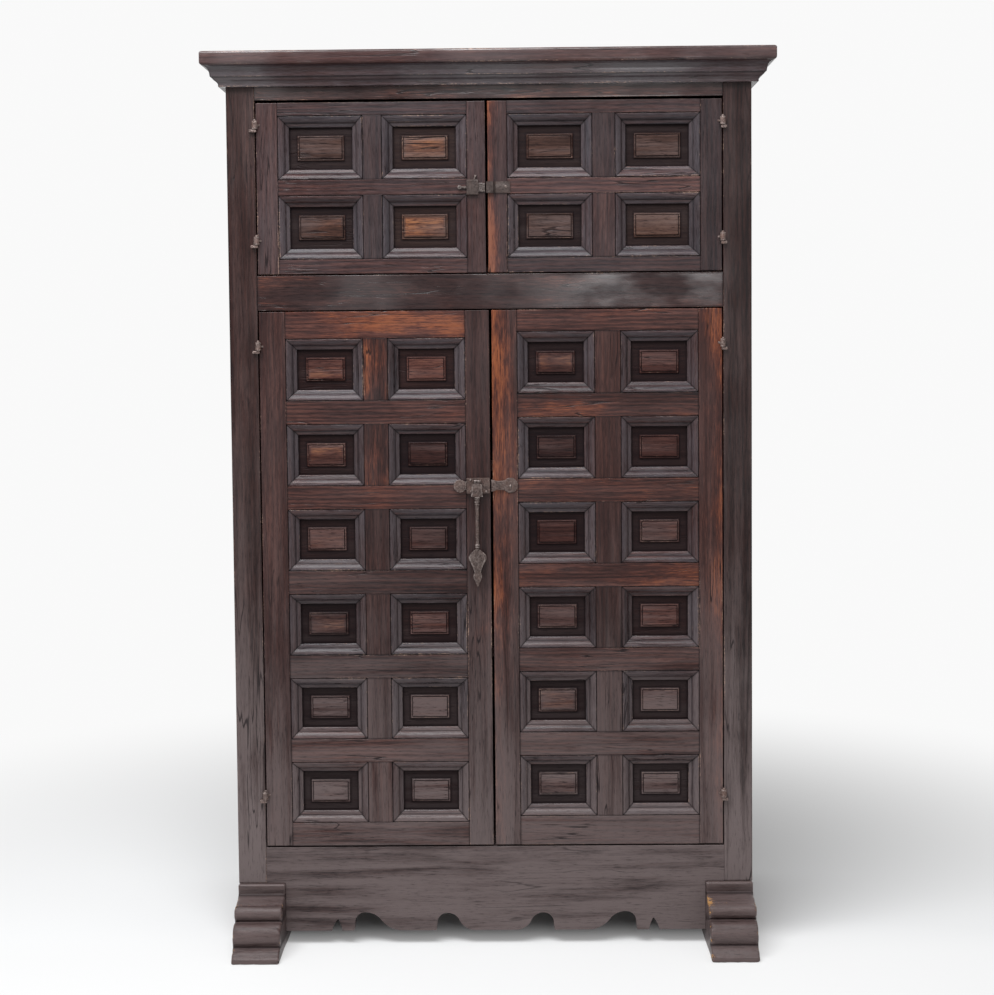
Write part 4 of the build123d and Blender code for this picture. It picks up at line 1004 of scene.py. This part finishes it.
# ---- the ironwork
def turned(shell, centre, axis, outline, seed, count=36, hoop=False):
    """A shape of revolution: the outline (distance along the axis, radius, wear) turned about
    the axis, its radius hammered a little out of true."""
    along, radius, worn = np.array(outline, float).T
    angle = np.linspace(0, 2 * np.pi, count, endpoint=False)
    axis = np.array(axis, float)
    first = np.eye(3)[0 if abs(axis[2]) > 0.5 else 2]
    second = np.cross(axis, first)
    beat = np.random.default_rng(seed).uniform(0, 2 * np.pi, 2)
    untrue = (1 - 0.012 * (1 + np.sin(3 * angle + beat[0]))
              - 0.010 * (1 + np.sin(7 * angle + beat[1])))
    radius = radius[:, None] * untrue
    points = (centre + along[:, None, None] * axis
              + (radius * np.cos(angle))[..., None] * first
              + (radius * np.sin(angle))[..., None] * second)
    shell.tube(points, worn=worn[:, None], board=seed * 0.1, hoop=hoop)


def forging(shell, path, across_way, width, depth, seed, square=0.32, worn=0.35, count=28):
    """A bar hammered to shape along a path: each ring is a rounded rectangle of half-width
    width and half-depth depth, its corners |cos|**square, and every face is left uneven."""
    path, across_way = np.array(path, float), np.array(across_way, float)
    width, depth = (np.broadcast_to(size, len(path))[:, None] for size in (width, depth))
    direction = (path[-1] - path[0]) / np.linalg.norm(path[-1] - path[0])
    angle = np.linspace(0, 2 * np.pi, count, endpoint=False)
    u, v = (np.sign(turn) * np.abs(turn) ** square for turn in (np.cos(angle), np.sin(angle)))
    reach = (path @ direction)[:, None]
    dent = 1 - 0.03 * (1 + np.sin(reach / 3.1 + 2 * angle + seed) * np.sin(reach / 7.7 + seed))
    points = (path[:, None, :] + (u * width * dent)[..., None] * across_way
              + (v * depth * dent)[..., None] * np.cross(direction, across_way))
    corner = (np.abs(u) > 0.8) & (np.abs(v) > 0.8)
    shell.tube(points, worn=np.clip(worn + 0.65 * corner, 0, 1), board=seed * 0.1)


def domed(thickness, radius):
    """Outline of a hammered disc with a softened rim and a low dome."""
    edge = [(0, 0.55, 0), (0, 0.97, 0), (0.3, 1, 0.6), (0.62, 0.985, 1), (0.8, 0.94, 0.9)]
    dome = [(0.84 + 0.16 * (1 - s ** 2), 0.88 * s, 0.25) for s in np.linspace(1, 0.02, 7)]
    return [(thickness * rise, radius * out, worn) for rise, out, worn in edge + dome]


def nail(shell, x, z, y, radius, seed):
    """A wrought nail's head: hammered facets on a low cone."""
    turned(shell, (x, y, z), (0, -1, 0), [
        (0, radius * 0.5, 0), (0, radius, 0.2), (0.6, radius * 0.96, 0.8),
        (1.5, radius * 0.45, 0.7), (1.8, radius * 0.05, 1)], seed, count=9)


def hinges():
    """Eyes on the leaves and pintles in the posts, a pair for each leaf."""
    pintles = Shell()
    axis_y = case_front - hinge_stand_off
    for leaf in leaves:
        low, high = box(leaf + "_hinge_eyes")
        side = -1 if "left" in leaf else 1
        axis_x = low.x + eye_radius if side < 0 else high.x - eye_radius
        eyes = Shell()
        for seed, base in enumerate((low.z, high.z - eye_height)):
            turned(eyes, (axis_x, axis_y, base), (0, 0, 1), [
                (0.6, eye_bore, 0), (0, eye_bore + 0.5, 0.4), (0, eye_radius - 1.2, 0.4),
                (0.9, eye_radius - 0.2, 1), (4, eye_radius, 0.2),
                (eye_height - 4, eye_radius, 0.2), (eye_height - 0.9, eye_radius - 0.2, 1),
                (eye_height, eye_radius - 1.2, 0.5), (eye_height, eye_bore + 0.5, 0.4),
                (eye_height - 0.6, eye_bore, 0)], seed + 3 * side + 3, hoop=True)
            slant = np.array([-side * math.sqrt(0.5), math.sqrt(0.5), 0])
            root = np.array([axis_x, axis_y, base + eye_height / 2])
            shank = root + slant * np.linspace(4.6, 27, 8)[:, None]
            forging(eyes, shank, (0, 0, 1), 2.2, 2.1, seed + 2)

            foot = base - eye_lift
            turned(pintles, (axis_x, axis_y, foot), (0, 0, 1), [
                (1, 1.5, 0), (2, pin_radius, 0), (pintle_bar, pin_radius, 0),
                (pintle_height - 2.6, 2.95, 0.2), (pintle_height - 1.2, 2.6, 1),
                (pintle_height - 0.3, 1.4, 0.8), (pintle_height, 0.1, 0.4)], seed + 5)
            half_bar, spike_x = pintle_bar / 2, axis_x + side * pintle_reach[side]
            leg = spread(np.linspace(axis_x - side * half_bar, spike_x + side * half_bar, 12),
                         axis_y, foot + half_bar)
            swell = np.interp(np.arange(12), (0, 1, 10, 11), (0.72, 1, 0.92, 0.7)) * half_bar
            forging(pintles, leg, (0, 0, 1), swell, swell, seed + 7)
            spike = spread(spike_x, axis_y + np.linspace(0, 30, 9), foot + half_bar)
            forging(pintles, spike, (0, 0, 1), 3.0, 3.0, seed + 9)
        # the hinges take the lighter iron, a painted highlight
        eyes.piece(leaf + "_eyes_iron", leaf + "_leaf", lighter_highlight_iron, "forged_iron",
                   leaf + "_hinge_eyes")
    pintles.piece("pintles_iron", "case", lighter_highlight_iron, "forged_iron", "hinge_pintles")


def bolts():
    """The two sliding bolts: flat bars, the upper with a knob, the lower with a round end."""
    bar_front, half_depth = case_front - bolt_front, (bolt_front - bolt_back) / 2
    middle_y = bar_front + half_depth
    nose = np.concatenate([np.ones(20), (0.9, 0.72)]) * half_depth

    def bar(shell, start, end, z, count, *shape):
        forging(shell, spread(np.linspace(start, end, count), middle_y, z), (0, 0, 1), *shape)

    low, high = box("upper_bolt")
    z = (low.z + high.z) / 2
    upper = Shell()
    bar_left = box("upper_bolt_guide")[0].x
    bar(upper, bar_left, high.x, z, 22, (high.z - low.z) / 2, nose, 1, 0.16)
    bar(upper, low.x + 2, bar_left + 2, z, 8, 2.6, 2.3, 6, 0.5)
    turned(upper, (low.x + 4.5, bar_front, z), (0, -1, 0), [
        (-1, 2, 0), (0, 3.4, 0), (3, 3.2, 0), (4.0, 4.4, 0.8), (5.2, 4.2, 1), (5.9, 2.6, 0.7),
        (6, 0.1, 0.4)], 4)
    upper.piece("upper_bolt_iron", "upper_bolt", dark_iron, "forged_iron", "upper_bolt")

    low, high = box("lower_bolt")
    z = (low.z + high.z) / 2
    disc_x, disc_gap = low.x + 14, bar_front - low.y
    lower = Shell()
    bar(lower, disc_x - 9, high.x, z, 22, 9, nose, 2, 0.16)
    turned(lower, (disc_x, bar_front, z), (0, -1, 0), [
        (-1, 2, 0), (0, 3.5, 0), (disc_gap - 3, 3.4, 0), (disc_gap - 2.5, 0.5, 0)], 6)
    turned(lower, (disc_x, low.y + 4, z), (0, -1, 0), domed(4, 14), 8, 48)
    lower.piece("lower_bolt_iron", "lower_bolt", iron, "forged_iron", "lower_bolt")


def lower_keeper():
    """The waisted keeper: from its cut edge over a lobe, a hollow waist and a round lobe.

    Its half-height at x is the greatest of the two lobes' circles and the waist's arc, and
    its front slopes down from the bolt's level to the leaf. Behind the near lobe, four
    points at the ring's back stand in to leave the bolt's socket.
    """
    low, high = box("lower_keeper")
    z, end = (low.z + high.z) / 2, high.x
    far_x, far_radius, near_radius = end - 16, 16, 13
    x = low.x + (end - low.x) * (1 - np.cos(np.linspace(0.12, math.pi - 0.04, 44))) / 2
    x = np.sort(np.append(x, [keeper_socket[0] - 0.1, keeper_socket[0] + 0.1]))[:, None]
    near = np.sqrt(np.maximum(near_radius ** 2 - x ** 2, 0))
    far = np.sqrt(np.maximum(far_radius ** 2 - (x - far_x) ** 2, 0))
    share = np.clip(x / far_x, 0, 1)
    waist = (12 + 2 * share - 4 * 3.2 * share * (1 - share)) * (x < far_x)
    half = np.maximum(np.maximum(near, far), np.maximum(waist, 0.4))
    level = case_front - low.y
    depth = np.interp(x, (0, 9, 15, 25), (level, level - 0.6, 7.6, 4.1))
    section = np.linspace(-1, 1, 23)
    rise = np.minimum(1, (1 - np.abs(section)) / 0.10) ** 0.45 * (1 - 0.12 * section ** 2)
    dent = 0.25 * np.sin(x / 3.3 + 5 * section) * (np.abs(section) < 0.9)
    face_y = case_front - depth * rise + np.abs(dent)
    recess = np.where(x < keeper_socket[0], keeper_socket[1], 0) * np.array([0, 1, 1, 0])
    edges = np.clip([9.5, keeper_socket[2], -keeper_socket[2], -9.5], -0.9 * half, 0.9 * half)
    edges = edges * np.array([1.02, 1, 1, 1.02])
    wear = np.concatenate([np.clip((np.abs(section) - 0.8) * 5, 0, 1) * 0.9 + 0.1, np.zeros(4)])
    keeper = Shell()
    # grime on the four socket points: painted shade with dirt in the bolt's socket
    keeper.tube(spread(x, np.concatenate([face_y, case_front - recess], 1),
                       z + np.concatenate([half * section, edges], 1)),
                worn=wear, grime=np.arange(27) > 22, board=0.3)
    nail(keeper, far_x + 0.5, z - 1, case_front - 4.0, 3.4, 5)
    keeper.piece("lower_keeper_iron", "lower_right_leaf", iron, "forged_iron", "lower_keeper")


def drop_handle():
    """The drop handle: knuckle, flared head, beaded stem and a spade-shaped drop."""
    low, high = box("drop_handle")
    x = (low.x + high.x) / 2
    pivot_y, pivot_z = box("lower_latch_plate")[0].y + knuckle, high.z - knuckle
    middle_y = pivot_y + 1.1
    handle = Shell()
    turned(handle, (x - 6, pivot_y, pivot_z), (1, 0, 0), [
        (0.5, 1.9, 0), (0, 2.6, 0.6), (0.4, 3.5, 1), (6, knuckle, 0.3), (11.6, 3.5, 1),
        (12, 2.6, 0.6), (11.5, 1.9, 0)], 2, hoop=True)
    fall = np.array([2.0, 4.7, 5.0, 8, 14, 20, 26, 30, 32.2, 33.0])
    half = [5.6, 5.9, 10.6, 11.3, 11.6, 12.0, 12.4, 12.8, 12.9, 12.2]
    thick = [2.2, 2.4, 2.4, 2.4, 2.4, 2.45, 2.5, 2.5, 2.45, 1.9]
    forging(handle, spread(x, middle_y, pivot_z - fall), (1, 0, 0), half, thick, 3, 0.22,
            worn=0.2)

    top = pivot_z - handle_head
    beads = [(-0.3, 3), (0, 6.6), (1.0, 6.9), (4.5, 5.6), (8, 4.9), (9.2, 4.8), (9.8, 5.6),
             (11, 5.9), (12.2, 5.6), (12.8, 4.6), (14.6, 4.5), (15.4, 5.2), (16.4, 5.4),
             (17.4, 5.1), (18, 4.4), (30, 4.2), (60, 4.1), (92, 4.0), (100, 4.0), (101, 5.0),
             (102.4, 5.8), (103.8, 5.5), (104.6, 4.6), (105.6, 5.0), (107, 5.6), (108.4, 5.3),
             (109.2, 4.2), (113, 4.6), (114, 2)]
    turned(handle, (x, middle_y, top), (0, 0, -1), [
        (down, radius, 0.9 if radius > 5.3 else 0.25) for down, radius in beads], 7, 32)

    fall = np.array([0, 1.5, 4, 7, 11, 15, 18, 20.5, 24, 29, 35, 41, 46, 49, 51.5, 54.5, 57,
                     60, 65, 70, 75, 78.5, 80])
    half = [5.2, 6.6, 10.6, 14.6, 17.9, 19.6, 20.0, 19.5, 17.7, 14.9, 11.9, 9.4, 7.9, 7.5, 8.0,
            9.2, 9.6, 9.0, 6.9, 4.7, 2.5, 1.1, 0.5]
    thick = np.interp(fall, (0, 6, 50, 72, 80), (2.1, 2.2, 2.1, 1.6, 0.6))
    forging(handle, spread(x, middle_y, top - handle_stem - fall), (1, 0, 0), half, thick, 5, 0.42,
            worn=0.2, count=36)
    handle.piece("drop_handle_iron", "drop_handle", brown_iron, "forged_iron", "drop_handle")


def latch_plates():
    """Guide, upper keeper and latch plate, with their wrought nails and the bent spike."""
    for node, metal in (("upper_bolt_guide", dark_iron), ("upper_keeper", dark_iron),
                        ("lower_latch_plate", iron)):
        softened_copy(node, metal, "forged_iron", 0.7)

    low, high = box("upper_bolt_guide")
    spike = Shell()
    lift = np.array([-1, 1, 4, 7, 9.5, 10.5])
    path = spread((low.x + high.x) / 2 + 4 + lift * 0.25, case_front - 2.6, high.z + lift)
    forging(spike, path, (1, 0, 0), [1.5, 1.5, 1.7, 2.4, 2.8, 1.6],
            [1.5, 1.5, 1.5, 1.9, 2.0, 1.0], 3, 0.5, worn=0.6)
    spike.piece("guide_spike_iron", "upper_left_leaf", iron, "forged_iron")

    low, high = box("upper_keeper")
    stud = Shell()
    nail(stud, high.x - 9, (low.z + high.z) / 2 + 1, case_front - 2.6, 3.2, 2)
    stud.piece("upper_keeper_nail_iron", "upper_right_leaf", iron, "forged_iron")

    low, high = box("lower_latch_plate")
    studs = Shell()
    middle_z = (low.z + high.z) / 2
    for seed, (x, rise) in enumerate(((low.x + 9, 12.4), (low.x + 9, -12.4), (high.x - 8, -12))):
        nail(studs, x, middle_z + rise, case_front - 8, 2.6, seed)
    studs.piece("latch_plate_nails_iron", "lower_left_leaf", iron, "forged_iron")


hinges()
bolts()
lower_keeper()
drop_handle()
latch_plates()


# ---- stage, light, camera
def pale_floor():
    """A pale floor that fades into the white surround.

    Away from the object the floor turns into plain white for the camera and for gloss, so
    that it keeps the object's shadow and has no edge; ahead of the feet it does so in part,
    which paints light into the object's shadow there.
    """
    floor = Finish(bpy.data.materials.new("pale_floor"))
    here = floor.node("TexCoord", output="Object")
    away = floor.node("VectorMath", {"operation": "LENGTH"}, {0: here}, output="Value")
    ahead = floor.node("SeparateXYZ", {}, {0: here}, output="Y").over(-0.03, -0.27)
    seen = floor.seen_by("Camera", "Glossy")
    pale = floor.node("BsdfDiffuse", {}, {"Color": (0.78, 0.78, 0.78)})
    white = floor.node("Emission", {}, {"Color": (0.95, 0.95, 0.95), "Strength": 1.0})
    # ahead of the feet half of the floor is white for the camera and gloss: painted light over the
    # object's shadow
    floor.end(floor.node("MixShader", {}, {
        0: away.over(0.75, 2.4).larger(ahead * 0.50) * seen, 1: pale, 2: white}))
    mesh = bpy.data.meshes.new("floor")
    mesh.from_pydata([(-30, -30, 0), (30, -30, 0), (30, 30, 0), (-30, 30, 0)], [],
                     [(0, 1, 2, 3)])
    mesh.materials.append(floor.holder)
    placed("floor", mesh)


def lights():
    """A white surround, a broad overhead lamp and a small front one."""
    sky = Finish(bpy.data.worlds.new("studio"))
    bpy.context.scene.world = sky.holder
    seen = sky.seen_by("Camera", "Glossy", "Transmission")
    sky.end(sky.node("Background", {}, {
        "Color": (1.0, 1.0, 1.0), "Strength": seen * 0.45 + 0.50}), "World")
    for name, place, target, width, height, power in (
            ("overhead", (-0.7, -1.7, 3.5), (0, -0.3, 0.7), 2.8, 1.5, 150),
            ("window", (0.62, -3.8, 1.62), (0.2, 0, 1.4), 0.6, 0.36, 5)):
        lamp = bpy.data.lights.new(name, "AREA")
        lamp.shape = "RECTANGLE"
        lamp.size, lamp.size_y, lamp.energy = width, height, power
        lamp.color = (0.97, 0.985, 1.0)
        hung = placed(name, lamp)
        hung.location = place
        hung.rotation_euler = (Vector(target) - Vector(place)).to_track_quat("-Z", "Y").to_euler()


def camera():
    """A nearly frontal camera a little right of the middle, at chest height."""
    image_height, focal_pixels = 995, 1704.1
    yaw, pitch, roll = 0.665, -3.050, -0.514
    data = bpy.data.cameras.new("camera")
    data.sensor_width = 36.0
    data.lens = focal_pixels / image_height * data.sensor_width
    data.shift_y = -0.07
    held = bpy.context.scene.camera = placed("camera", data)
    held.matrix_world = Matrix.Translation((0.0542, -3.781, 1.303))
    for turn, axis in ((yaw, "Z"), (90 + pitch, "X"), (roll, "Z")):
        held.matrix_world @= Matrix.Rotation(math.radians(turn), 4, axis)


pale_floor()
lights()
camera()
bpy.context.scene.view_settings.view_transform = "Standard"
